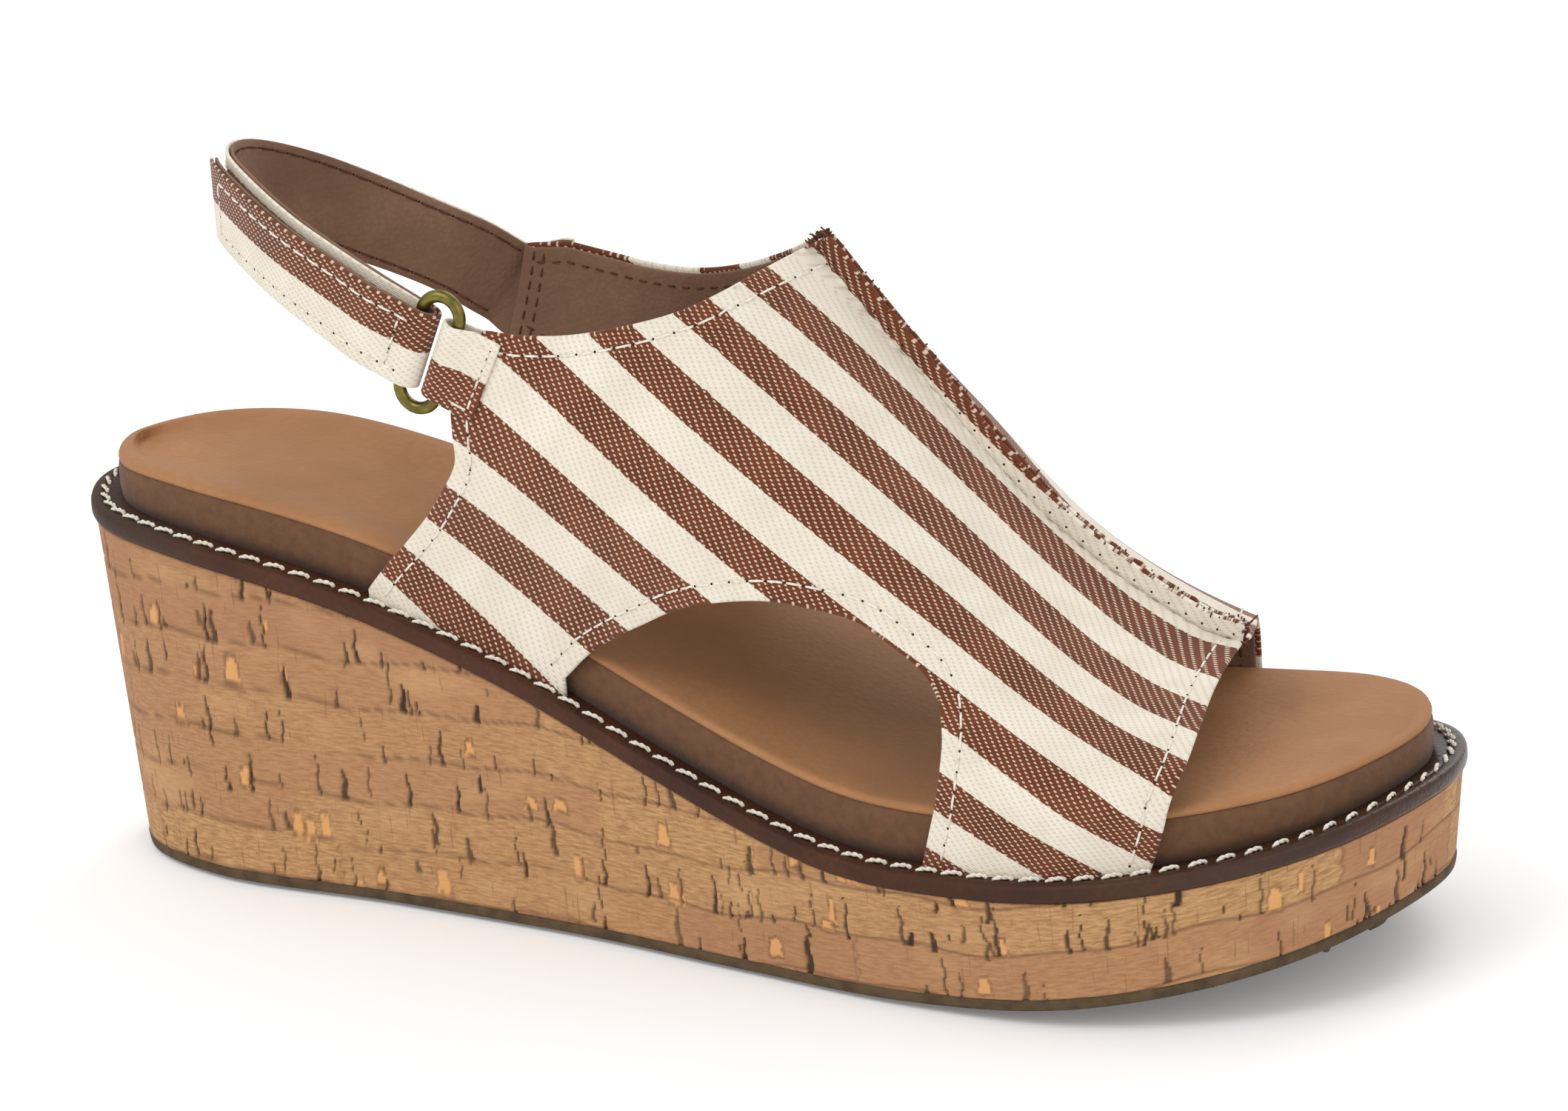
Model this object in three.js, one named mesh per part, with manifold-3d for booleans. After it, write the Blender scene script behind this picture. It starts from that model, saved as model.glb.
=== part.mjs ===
// A right-foot slingback wedge sandal: cork-covered wedge, fabric upper with a raised centre seam,
// and a heel strap that runs through a ring and closes with hook-and-loop.
// Millimetres. +X to the toe, +Y to the inner side of the foot, +Z up, the sole on Z = 0.
import * as THREE from "three";
import { mergeVertices } from "three/addons/utils/BufferGeometryUtils.js";
import Module from "manifold-3d";

const wasm = await Module();
wasm.setup();

// ---------------------------------------------------------------- driving dimensions

const SOLE_LENGTH = 262;
const BALL_WIDTH = 92;
const HEEL_HEIGHT = 68; // top of the welt above the ground, at the back
const PLATFORM_HEIGHT = 25.5; // top of the welt above the ground, at the ball
const TOE_SPRING = 13.5;
const TOE_THINNING = 4; // how much thinner the platform is at its tip
const FLAT_END = 26; // where the toe spring starts
const HEEL_TAPER = 4; // how far the wall leans in, from welt to ground
const FRONT_TAPER = 1.8;

const GAP = 0.3; // clearance between pieces that touch
const OUTSOLE_THICKNESS = 2.8;
const CORK_THICKNESS = 1.3;
const CORK_INSET = 0.8; // the cork's wall, inside the welt's edge
const WELT_THICKNESS = 3.4;
const WELT_ROUND = 0.8;
const WELT_INNER_INSET = 16;
const THREAD_RADIUS = 0.5;
const THREAD_INSET = 2.7;

const FOOTBED_HEIGHT = 10.5;
const FOOTBED_END_DROP = 3; // how much lower the footbed is at the heel and toe ends
const FOOTBED_INSET = 5.8;
const SIDE_WRAP_THICKNESS = 0.8;
const TOP_SOCK_THICKNESS = 1.2;

const LINING_THICKNESS = 0.6;
const FABRIC_THICKNESS = 0.9;
const POCKET_DEPTH = 2.2; // how deep the upper's legs sit in the welt
const SEAM_HEIGHT = 4.3; // the raised centre seam

const STRAP_WIDTH = 15.5;
const STRAP_PLY = 0.6;
const PATCH_THICKNESS = 0.9;
const PATCH_WIDTH = 12;
const FOLD_WIDTH = 14;
const TAB_LENGTH = 12.5;

const WIRE_RADIUS = 1.1;
const RING_LENGTH = 24;
const RING_WIDTH = 9.6;

// The patterns are drawn for this length and width, and graded to the sizes above.
const LENGTH_GRADE = SOLE_LENGTH / 262;
const WIDTH_GRADE = BALL_WIDTH / 92;

const LATERAL = -1;
const MEDIAL = 1;

// ---------------------------------------------------------------- curves of the sole

// Outline of the welt: [x, outer half-width, inner half-width] at each station.
const OUTLINE = [
  [-122, 19.5, 17.5],
  [-100, 30, 27],
  [-60, 31.5, 29],
  [-21, 35, 31.5],
  [16, 41.5, 36.5],
  [50, 47, 42.5],
  [81, 47.5, 44.5],
  [107, 37.5, 41],
  [123, 21.5, 29],
];
const HEEL_TIP = [-131, 0];
const TOE_TIP = [131, 8];
const STEPS_PER_STATION = 4;

// Rise of the welt from ball to heel: [x, share of the rise].
const WEDGE_RISE = [
  [-131, 1],
  [-98, 0.955],
  [-65, 0.8],
  [-33, 0.577],
  [0, 0.282],
  [33, 0.045],
  [62, 0],
  [131, 0],
];

const graded = ([x, y]) => new THREE.Vector3(x * LENGTH_GRADE, y * WIDTH_GRADE, 0);

const outline = new THREE.CatmullRomCurve3(
  [
    graded(HEEL_TIP),
    ...OUTLINE.map(([x, outer]) => graded([x, -outer])),
    graded(TOE_TIP),
    ...OUTLINE.toReversed().map(([x, , inner]) => graded([x, inner])),
  ],
  true,
);
const LOOP_STEPS = (2 * OUTLINE.length + 2) * STEPS_PER_STATION;

const lerp = THREE.MathUtils.lerp;
const clamp = THREE.MathUtils.clamp;
const smoothstep = THREE.MathUtils.smoothstep;

// A smooth function through points; by default their x is graded with the length.
function curveThrough(points, grade = LENGTH_GRADE) {
  const xs = points.map(([x]) => x * grade);
  const ys = points.map(([, y]) => y);
  const slope = (i) => {
    const a = Math.max(i - 1, 0);
    const b = Math.min(i + 1, xs.length - 1);
    return (ys[b] - ys[a]) / (xs[b] - xs[a]);
  };
  return (x) => {
    let i = xs.findIndex((right) => right > x) - 1;
    if (i < 0) i = x < xs[0] ? 0 : xs.length - 2;
    const span = xs[i + 1] - xs[i];
    const t = (x - xs[i]) / span;
    const rise = ys[i] * (1 + 2 * t) * (1 - t) ** 2 + ys[i + 1] * t * t * (3 - 2 * t);
    return rise + span * t * (1 - t) * (slope(i) * (1 - t) - slope(i + 1) * t);
  };
}

const wedgeRise = curveThrough(WEDGE_RISE);
const HALF_LENGTH = SOLE_LENGTH / 2;
const FLAT_END_X = FLAT_END * LENGTH_GRADE;

const toeShare = (x) => clamp((x - FLAT_END_X) / (HALF_LENGTH - FLAT_END_X), 0, 1);
const ground = (x) => TOE_SPRING * toeShare(x) ** 2.4;
const weltTop = (x) =>
  PLATFORM_HEIGHT +
  (HEEL_HEIGHT - PLATFORM_HEIGHT) * wedgeRise(x) +
  ground(x) -
  TOE_THINNING * toeShare(x) ** 2;
const footbedTop = (x) =>
  weltTop(x) + FOOTBED_HEIGHT - FOOTBED_END_DROP * Math.min(Math.abs(x) / HALF_LENGTH, 1) ** 4;
const weltBottom = (x) => weltTop(x) - WELT_THICKNESS;
const taper = (x) =>
  lerp(HEEL_TAPER, FRONT_TAPER, smoothstep(x, -HALF_LENGTH, -FLAT_END_X));

// ---------------------------------------------------------------- bodies from loops and grids

// The outline moved inwards, as LOOP_STEPS points; the inset and the height may change along x.
function loopPoints(inset, height) {
  const points = [];
  for (let i = 0; i < LOOP_STEPS; i++) {
    const t = i / LOOP_STEPS;
    const point = outline.getPoint(t);
    const tangent = outline.getTangent(t);
    const distance = typeof inset === "function" ? inset(point.x) : inset;
    point.x -= tangent.y * distance;
    point.y += tangent.x * distance;
    point.z = height(point.x);
    points.push(point);
  }
  return points;
}

// A geometry from points and triangles, with its faces turned outwards.
function body(points, triangles) {
  const volume = triangles.reduce(
    (sum, [a, b, c]) => sum + points[a].dot(points[b].clone().cross(points[c])),
    0,
  );
  const facing = volume < 0 ? triangles.map(([a, b, c]) => [a, c, b]) : triangles;
  const geometry = new THREE.BufferGeometry().setFromPoints(points);
  geometry.setIndex(facing.flat());
  geometry.computeVertexNormals();
  return geometry;
}

// Quads between two neighbouring loops that start at the given point numbers.
function wallBetween(first, second) {
  const faces = [];
  for (let i = 0; i < LOOP_STEPS; i++) {
    const next = (i + 1) % LOOP_STEPS;
    faces.push([first + i, first + next, second + next], [first + i, second + next, second + i]);
  }
  return faces;
}

// Quads across a loop, from its outer side to its inner side.
function lid(first, reversed) {
  const faces = [];
  const half = LOOP_STEPS / 2;
  for (let i = 0; i < half; i++) {
    const a = first + i;
    const b = first + i + 1;
    const c = first + LOOP_STEPS - i - 1;
    const d = first + ((LOOP_STEPS - i) % LOOP_STEPS);
    if (b !== c) faces.push([a, b, c]);
    if (a !== d) faces.push([a, c, d]);
  }
  return reversed ? faces.map(([a, b, c]) => [a, c, b]) : faces;
}

// A solid plate: loops from the bottom to the top, each [inset, height].
function plate(section) {
  const points = section.flatMap(([inset, height]) => loopPoints(inset, height));
  const faces = lid(0, true);
  for (let k = 0; k + 1 < section.length; k++) {
    faces.push(...wallBetween(k * LOOP_STEPS, (k + 1) * LOOP_STEPS));
  }
  faces.push(...lid((section.length - 1) * LOOP_STEPS, false));
  return body(points, faces);
}

// A closed band round the sole: the section's corners in order, each [inset, height].
function band(section) {
  const points = section.flatMap(([inset, height]) => loopPoints(inset, height));
  const faces = section.flatMap((_, k) =>
    wallBetween(k * LOOP_STEPS, ((k + 1) % section.length) * LOOP_STEPS),
  );
  return body(points, faces);
}

// A sheet with thickness: two grids of points, [row][column], closed round their edges.
function sheet(outside, inside) {
  const rows = outside.length;
  const columns = outside[0].length;
  const points = [...outside.flat(), ...inside.flat()];
  const at = (face, r, c) => face * rows * columns + r * columns + c;
  const faces = [];
  const quad = (a, b, c, d) => faces.push([a, b, c], [a, c, d]);
  for (let r = 0; r + 1 < rows; r++) {
    for (let c = 0; c + 1 < columns; c++) {
      quad(at(0, r, c), at(0, r, c + 1), at(0, r + 1, c + 1), at(0, r + 1, c));
      quad(at(1, r, c), at(1, r + 1, c), at(1, r + 1, c + 1), at(1, r, c + 1));
    }
  }
  for (let r = 0; r + 1 < rows; r++) {
    const last = columns - 1;
    quad(at(0, r, 0), at(0, r + 1, 0), at(1, r + 1, 0), at(1, r, 0));
    quad(at(0, r, last), at(1, r, last), at(1, r + 1, last), at(0, r + 1, last));
  }
  for (let c = 0; c + 1 < columns; c++) {
    const last = rows - 1;
    quad(at(0, 0, c), at(1, 0, c), at(1, 0, c + 1), at(0, 0, c + 1));
    quad(at(0, last, c), at(0, last, c + 1), at(1, last, c + 1), at(1, last, c));
  }
  return body(points, faces);
}

function solidOf(geometry) {
  const bare = geometry.clone();
  bare.deleteAttribute("normal");
  bare.deleteAttribute("uv");
  const merged = mergeVertices(bare, 1e-4);
  return new wasm.Manifold(
    new wasm.Mesh({
      numProp: 3,
      vertProperties: new Float32Array(merged.attributes.position.array),
      triVerts: new Uint32Array(merged.index.array),
    }),
  );
}

function geometryOf(solid) {
  const mesh = solid.getMesh();
  const geometry = new THREE.BufferGeometry();
  geometry.setAttribute("position", new THREE.BufferAttribute(mesh.vertProperties, 3));
  geometry.setIndex(new THREE.BufferAttribute(mesh.triVerts, 1));
  geometry.computeVertexNormals();
  return geometry;
}

// ---------------------------------------------------------------- curves of the upper

const FACET_ROOM = 0.15; // the panels and the footbed follow the outline in facets of their own
const UPPER_INSET = FOOTBED_INSET - GAP - FACET_ROOM; // the lining's inner face, from the welt's edge
const SHELL_OFFSET = LINING_THICKNESS + GAP; // the fabric's inner face, from the lining's
const UPPER_THICKNESS = SHELL_OFFSET + FABRIC_THICKNESS;

// Height of the centre seam over the footbed. Behind the instep it only shapes the ankle walls.
const RIDGE_HEIGHT = [
  [-66, 150],
  [-35, 122],
  [0, 92.8],
  [16, 77.8],
  [36, 58.4],
  [58, 34.9],
  [83, 16.7],
  [94, 12.6],
  [106, 8],
];
const ridgeHeight = curveThrough(RIDGE_HEIGHT);
const ridgeZ = (x) => footbedTop(x) + ridgeHeight(x);
const ridgeY = (x) => (2 + 0.092 * (x / LENGTH_GRADE - 18)) * WIDTH_GRADE;

const ARCH_POWER = 2.3; // 2 is an ellipse, more is squarer
const RIDGE_ANGLE = THREE.MathUtils.degToRad(78); // under 90 leaves a slight peak at the seam
const ANKLE_FLARE = 10; // how far the ankle walls stand outside the footbed
const FLARE_REACH = 42; // height over which they get there
const GRID_TOP = 72; // the grid stops this far over the footbed, behind the instep
const WALL_SHARE = 0.2; // share of a section that runs straight up beside the footbed

// The outline's half-width at x on one side, moved inwards by the upper's inset.
const upperEdge = loopPoints(UPPER_INSET, () => 0);
function edgeY(side, x) {
  const half = LOOP_STEPS / 2;
  const points = side === LATERAL ? upperEdge.slice(0, half + 1) : upperEdge.slice(half).toReversed();
  const i = clamp(points.findIndex((point) => point.x > x), 1, points.length - 1);
  const [a, b] = [points[i - 1], points[i]];
  return lerp(a.y, b.y, (x - a.x) / (b.x - a.x));
}

// A point of the upper's inner face: x along the foot, v from the welt (0) to the seam (1).
function upperPoint(side, x, v) {
  const edge = edgeY(side, x);
  const foot = footbedTop(x);
  if (v <= WALL_SHARE) {
    const z = lerp(weltTop(x) - POCKET_DEPTH, foot, v / WALL_SHARE);
    return new THREE.Vector3(x, edge, z);
  }
  const rise = ridgeZ(x) - foot;
  const topShare = Math.min(1, (GRID_TOP + Math.max(x / LENGTH_GRADE, 0)) / rise) ** (ARCH_POWER / 2);
  const topAngle = Math.asin(topShare * Math.sin(RIDGE_ANGLE));
  const angle = (topAngle * (v - WALL_SHARE)) / (1 - WALL_SHARE);
  const up = (Math.sin(angle) / Math.sin(RIDGE_ANGLE)) ** (2 / ARCH_POWER);
  const flat = (Math.cos(angle) - Math.cos(RIDGE_ANGLE)) / (1 - Math.cos(RIDGE_ANGLE));
  const out = Math.max(flat, 0) ** (2 / ARCH_POWER);
  const flare = ANKLE_FLARE * clamp((70 - x / LENGTH_GRADE) / 120, 0, 1);
  const y =
    ridgeY(x) +
    (edge - ridgeY(x)) * out +
    side * flare * smoothstep(rise * up, 0, FLARE_REACH) * Math.cos(angle) ** 2;
  return new THREE.Vector3(x, y, foot + rise * up);
}

function upperNormal(side, x, v) {
  const step = 0.01;
  const alongX = upperPoint(side, x + 1, v).sub(upperPoint(side, x - 1, v));
  const high = Math.min(v + step, 1);
  const low = Math.max(v - step, 0);
  const alongV = upperPoint(side, x, high).sub(upperPoint(side, x, low));
  return alongX.cross(alongV).multiplyScalar(-side).normalize();
}

const offsetPoint = (side, x, v, offset) =>
  upperPoint(side, x, v).addScaledVector(upperNormal(side, x, v), offset);

// The point of the upper at x and z, moved outwards by the offset.
function onUpper(side, x, z, offset) {
  let low = WALL_SHARE;
  let high = 1;
  for (let i = 0; i < 24; i++) {
    const middle = (low + high) / 2;
    if (upperPoint(side, x, middle).z < z) low = middle;
    else high = middle;
  }
  return offsetPoint(side, x, low, offset);
}

// ---------------------------------------------------------------- upper panels

const REAR_X = -66;
// The toe opening's edge: [v, x] from the welt to the seam.
const FRONT_EDGE = {
  [LATERAL]: [[0, 93.2], [0.2, 96.7], [0.45, 98], [0.65, 96.6], [0.85, 93.6], [1, 91.4]],
  [MEDIAL]: [[0, 81.8], [0.2, 80.6], [0.45, 81.8], [0.65, 84.6], [0.85, 88.6], [1, 91.4]],
};
const PANEL_COLUMNS = 18;
const WALL_ROWS = 2;
const ARCH_ROWS = 8;

// Pattern points are [x, height over the footbed].
const patternPoint = ([x, height]) => {
  const gradedX = x * LENGTH_GRADE;
  return new THREE.Vector2(gradedX, footbedTop(gradedX) + height);
};

const LEG_BOTTOM = -FOOTBED_HEIGHT - POCKET_DEPTH - 6;
const CUTOUT_REAR = -20;
const CUTOUT_FRONT = 54.5;
const CUTOUT = [
  [CUTOUT_REAR, -7],
  [-14.4, 0.5],
  [-8.2, 7],
  [-0.7, 13.9],
  [7.8, 21.2],
  [16.5, 26.5],
  [25.2, 30.1],
  [32.7, 31.1],
  [40.4, 30.4],
  [46.8, 27],
  [53.1, 22.7],
  [56.6, 18.6],
  [58.6, 13],
  [58.8, 8],
  [58, 2],
  [56.6, -3],
  [CUTOUT_FRONT, -10.4],
];
const LEG_REAR = -60;
const INSTEP = [16, 78.2];
const REAR_EDGE = {
  [LATERAL]: [
    [-35.2, 31],
    [-35.5, 27],
    [-37.1, 23.3],
    [-40.3, 18.2],
    [-44.5, 11.8],
    [-50.3, 4.2],
    [-55.5, -2.3],
    [LEG_REAR, -8.6],
  ],
  [MEDIAL]: [
    [-53, 24],
    [-43, 18],
    [-41.5, 12],
    [-47, 5],
    [-54, -1.5],
    [LEG_REAR, -8],
  ],
};
const TOP_LINE = {
  [LATERAL]: [
    INSTEP,
    [13.6, 76.4],
    [9.1, 72.5],
    [4.7, 69.1],
    [-4.1, 63.8],
    [-13.9, 58.4],
    [-22.4, 54.7],
    [-31, 52.9],
  ],
  [MEDIAL]: [
    INSTEP,
    [13.6, 76.4],
    [5, 68.2],
    [-2.5, 61.5],
    [-13.5, 53.3],
    [-22.5, 48.1],
    [-32, 44.7],
    [-40, 43.1],
    [-49, 41.6],
  ],
};

const CORNER_ROOM = 1; // outline points closer than this to the rear corner are left out

// The panel's outline, seen from the side; the toe opening and the seam are the sheet's own edges.
function panelOutline(side, rearCorner) {
  const shape = new THREE.Shape();
  const above = patternPoint([120, 60]);
  const lift = patternPoint([INSTEP[0] + 12, INSTEP[1] + 18]);
  const start = patternPoint([120, LEG_BOTTOM]);
  shape.moveTo(start.x, start.y);
  shape.lineTo(above.x, above.y);
  shape.lineTo(lift.x, lift.y);
  const behindCorner = (point) => point.x < rearCorner[0].x + CORNER_ROOM;
  const top = TOP_LINE[side].map(patternPoint).filter((point) => !behindCorner(point));
  shape.lineTo(top[0].x, top[0].y);
  shape.splineThru(top.slice(1));
  for (const corner of rearCorner) shape.lineTo(corner.x, corner.y);
  const aboveCorner = (point) => point.y > rearCorner.at(-1).y - CORNER_ROOM;
  const rear = REAR_EDGE[side].map(patternPoint).filter((point) => !aboveCorner(point));
  shape.lineTo(rear[0].x, rear[0].y);
  shape.splineThru(rear.slice(1));
  const rearFoot = patternPoint([LEG_REAR, LEG_BOTTOM]);
  shape.lineTo(rearFoot.x, rearFoot.y);
  const archFoot = patternPoint([CUTOUT_REAR, LEG_BOTTOM]);
  shape.lineTo(archFoot.x, archFoot.y);
  const arch = CUTOUT.map(patternPoint);
  shape.lineTo(arch[0].x, arch[0].y);
  shape.splineThru(arch.slice(1));
  const frontFoot = patternPoint([CUTOUT_FRONT, LEG_BOTTOM]);
  shape.lineTo(frontFoot.x, frontFoot.y);
  return shape;
}

const PRISM_DEPTH = 200;
const CURVE_SEGMENTS = 2; // for each point of a spline
function outlinePrism(shape) {
  const geometry = new THREE.ExtrudeGeometry(shape, {
    depth: PRISM_DEPTH,
    bevelEnabled: false,
    curveSegments: CURVE_SEGMENTS,
  });
  geometry.rotateX(Math.PI / 2);
  geometry.translate(0, PRISM_DEPTH / 2, 0);
  return geometry;
}

// One face of a panel as a grid; the seam's flange is a last row when it has a height.
function panelFace(side, offset, seamInset, flange) {
  const rows = [];
  const heights = [];
  for (let k = 0; k <= WALL_ROWS; k++) heights.push((WALL_SHARE * k) / WALL_ROWS);
  for (let k = 1; k <= ARCH_ROWS; k++) heights.push(WALL_SHARE + ((1 - WALL_SHARE) * k) / ARCH_ROWS);
  const frontEdge = curveThrough(FRONT_EDGE[side], 1);
  for (const v of heights) {
    const front = frontEdge(v) * LENGTH_GRADE;
    const row = [];
    for (let c = 0; c <= PANEL_COLUMNS; c++) {
      const x = lerp(REAR_X * LENGTH_GRADE, front, c / PANEL_COLUMNS);
      const point = offsetPoint(side, x, v, offset);
      const clearOfSeam = Math.max(side * (point.y - ridgeY(x)), seamInset);
      point.y = ridgeY(x) + side * clearOfSeam;
      row.push(point);
    }
    rows.push(row);
  }
  if (flange > 0) {
    const ridge = rows.at(-1);
    rows.push(
      ridge.map((point, c) => {
        const a = ridge[Math.max(c - 1, 0)];
        const b = ridge[Math.min(c + 1, PANEL_COLUMNS)];
        const run = new THREE.Vector2(b.x - a.x, b.z - a.z).normalize();
        return new THREE.Vector3(point.x - run.y * flange, point.y, point.z + run.x * flange);
      }),
    );
  }
  return rows;
}

function panel(side, innerOffset, thickness, flange, prism) {
  const seam = GAP / 2;
  const outerSeam = flange > 0 ? seam + thickness : seam;
  const outer = panelFace(side, innerOffset + thickness, outerSeam, flange);
  const inner = panelFace(side, innerOffset, seam, flange);
  return geometryOf(solidOf(sheet(outer, inner)).intersect(solidOf(prism)));
}

const POCKET_LEAN = 1.2; // the front legs' front edges lean forwards as they rise

// The room in the welt for one leg of the upper.
function legPocket(side, from, to) {
  const columns = 8;
  const face = (offset) =>
    [-GAP, POCKET_DEPTH + GAP].map((height) => {
      const row = [];
      for (let c = 0; c <= columns; c++) {
        const x = lerp(from - GAP, to + GAP, c / columns);
        const point = offsetPoint(side, x, 0, offset);
        point.z = weltTop(x) - POCKET_DEPTH + height;
        row.push(point);
      }
      return row;
    });
  const room = GAP + FACET_ROOM;
  return sheet(face(UPPER_THICKNESS + room), face(-room));
}

// ---------------------------------------------------------------- ring, tab and strap

const RING_CENTRE = [-39.2, 45.2]; // [x, height over the footbed]
const RING_LEAN = THREE.MathUtils.degToRad(23.3);
const ringSpot = patternPoint(RING_CENTRE);
const ringMiddle = onUpper(LATERAL, ringSpot.x, ringSpot.y, UPPER_THICKNESS / 2);
// Along the bars, towards the heel, and outwards.
const barAxis = new THREE.Vector3(Math.sin(RING_LEAN), 0, Math.cos(RING_LEAN));
const rearward = new THREE.Vector3(-Math.cos(RING_LEAN), 0, Math.sin(RING_LEAN));
const outward = new THREE.Vector3(0, LATERAL, 0);
const ringPoint = (along, back, out) =>
  ringMiddle
    .clone()
    .addScaledVector(barAxis, along)
    .addScaledVector(rearward, back)
    .addScaledVector(outward, out);

const BAR_OFFSET = RING_WIDTH / 2 - WIRE_RADIUS; // each bar's centre from the ring's middle
const BAR_LENGTH = RING_LENGTH - 2 * WIRE_RADIUS - 2 * BAR_OFFSET;

function ringGeometry() {
  const path = new THREE.CurvePath();
  const corner = (along, back) => ringPoint(along, back, 0);
  const half = BAR_LENGTH / 2;
  const endSteps = 8;
  const points = [];
  for (const end of [1, -1]) {
    for (let i = 0; i <= endSteps; i++) {
      const angle = (Math.PI * i) / endSteps;
      points.push(
        corner(end * (half + BAR_OFFSET * Math.sin(angle)), end * BAR_OFFSET * Math.cos(angle)),
      );
    }
  }
  points.forEach((point, i) => path.add(new THREE.LineCurve3(point, points[(i + 1) % points.length])));
  const sides = 10;
  const rings = points.map((point, i) => {
    const before = points.at(i - 1);
    const after = points[(i + 1) % points.length];
    const across = after.clone().sub(before).normalize().cross(outward);
    return Array.from({ length: sides }, (_, k) => {
      const angle = (2 * Math.PI * k) / sides;
      return point
        .clone()
        .addScaledVector(across, WIRE_RADIUS * Math.cos(angle))
        .addScaledVector(outward, WIRE_RADIUS * Math.sin(angle));
    });
  });
  const faces = [];
  rings.forEach((_, i) => {
    const next = (i + 1) % rings.length;
    for (let k = 0; k < sides; k++) {
      const up = (k + 1) % sides;
      const [a, b, c, d] = [i * sides + k, i * sides + up, next * sides + up, next * sides + k];
      faces.push([a, b, c], [a, c, d]);
    }
  });
  return body(rings.flat(), faces);
}

const PLY_INNER = WIRE_RADIUS + GAP - 0.05; // a ply's inner face, from the ring's middle plane
const STRAP_THICKNESS = 2 * STRAP_PLY + GAP;
const ACROSS_STEPS = 3;
const acrossStations = (width) =>
  Array.from({ length: ACROSS_STEPS + 1 }, (_, k) => lerp(-width / 2, width / 2, k / ACROSS_STEPS));

// Half a turn round a bar; facing is 1 when it wraps the bar's rear and -1 its front.
function turnPoints(along, barBack, facing, radius) {
  const steps = 8;
  return Array.from({ length: steps + 1 }, (_, i) => {
    const angle = (Math.PI * i) / steps;
    return ringPoint(along, barBack + facing * radius * Math.sin(angle), radius * Math.cos(angle));
  });
}

// The tab lies on both faces of the outer panel's rear corner and turns round the front bar.
const TAB_FLAT_START = BAR_OFFSET + 3.2;
function tabGeometry() {
  const thickness = FABRIC_THICKNESS;
  const outside = UPPER_THICKNESS + GAP;
  const flatBack = [-(BAR_OFFSET + TAB_LENGTH), -(BAR_OFFSET + TAB_LENGTH + 3.2) / 2, -TAB_FLAT_START];
  const ply = (along, back, offset) => {
    const spot = ringPoint(along, back, 0);
    return onUpper(LATERAL, spot.x, spot.z, offset);
  };
  const rows = (radius, outerOffset, innerOffset) =>
    acrossStations(FOLD_WIDTH).map((along) => [
      ...flatBack.map((back) => ply(along, back, outerOffset)),
      ...turnPoints(along, -BAR_OFFSET, 1, radius),
      ...flatBack.toReversed().map((back) => ply(along, back, innerOffset)),
    ]);
  return sheet(
    rows(PLY_INNER + thickness, outside + thickness, -GAP - thickness),
    rows(PLY_INNER, outside, -GAP),
  );
}

const FOLD_TAIL = 1.2; // straight ends of the strap's fold, behind the bar
const PLY_START = BAR_OFFSET + FOLD_TAIL + GAP;
function foldGeometry() {
  const rows = (radius) =>
    acrossStations(FOLD_WIDTH).map((along) => [
      ringPoint(along, BAR_OFFSET + FOLD_TAIL, radius),
      ...turnPoints(along, BAR_OFFSET, -1, radius),
      ringPoint(along, BAR_OFFSET + FOLD_TAIL, -radius),
    ]);
  return sheet(rows(PLY_INNER + STRAP_THICKNESS), rows(PLY_INNER));
}

// The strap's inner face, midway across its width: [x, y, height over the footbed].
const STRAP_PATH = [
  [-66, -29.5, 49.7],
  [-80, -21.5, 51.5],
  [-91, -10.5, 51.2],
  [-95.5, 2, 48.7],
  [-92, 14.5, 43.6],
  [-82, 24, 37.8],
  [-69, 29, 33.8],
];
const STRAP_END = [-50, 33.8]; // on the inner panel: [x, height over the footbed]
const LAP_LENGTH = 9;
const strapEnd = patternPoint(STRAP_END);
const lapOffset = UPPER_THICKNESS + GAP;
const strapPath = new THREE.CatmullRomCurve3([
  ringPoint(0, PLY_START, -PLY_INNER - STRAP_THICKNESS),
  ringPoint(0, PLY_START + 8, -PLY_INNER - STRAP_THICKNESS),
  ...STRAP_PATH.map(([x, y, height]) => {
    const spot = patternPoint([x, height]);
    return new THREE.Vector3(spot.x, y * WIDTH_GRADE, spot.y);
  }),
  onUpper(MEDIAL, strapEnd.x - LAP_LENGTH, strapEnd.y - 1, lapOffset),
  onUpper(MEDIAL, strapEnd.x, strapEnd.y, lapOffset),
]);
const strapLength = strapPath.getLength();

// A point of the strap: distance along it, across its width (up), and outwards from its inner face.
function strapPoint(distance, across, out) {
  const share = clamp(distance / strapLength, 0, 1);
  const middle = strapPath.getPointAt(share);
  const tangent = strapPath.getTangentAt(share);
  const normal = new THREE.Vector3(tangent.y, -tangent.x, 0).normalize().negate();
  const up = normal.clone().cross(tangent).normalize();
  if (up.z < 0) up.negate();
  return middle.addScaledVector(up, across).addScaledVector(normal, out);
}

function strapPiece(from, to, width, inner, thickness, rootWidth = width) {
  const steps = Math.ceil((to - from) / 6);
  const face = (out) =>
    Array.from({ length: steps + 1 }, (_, i) => {
      const distance = lerp(from, to, i / steps);
      const here = lerp(rootWidth, width, smoothstep(distance - from, 0, 10));
      return acrossStations(here).map((across) => strapPoint(distance, across, out));
    });
  return sheet(face(inner + thickness), face(inner));
}

const TAIL_LENGTH = 56;
const PATCH_START = 6;
const LAP_PIECE = 14; // the sewn end of the strap, which bends when the strap swings

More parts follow.
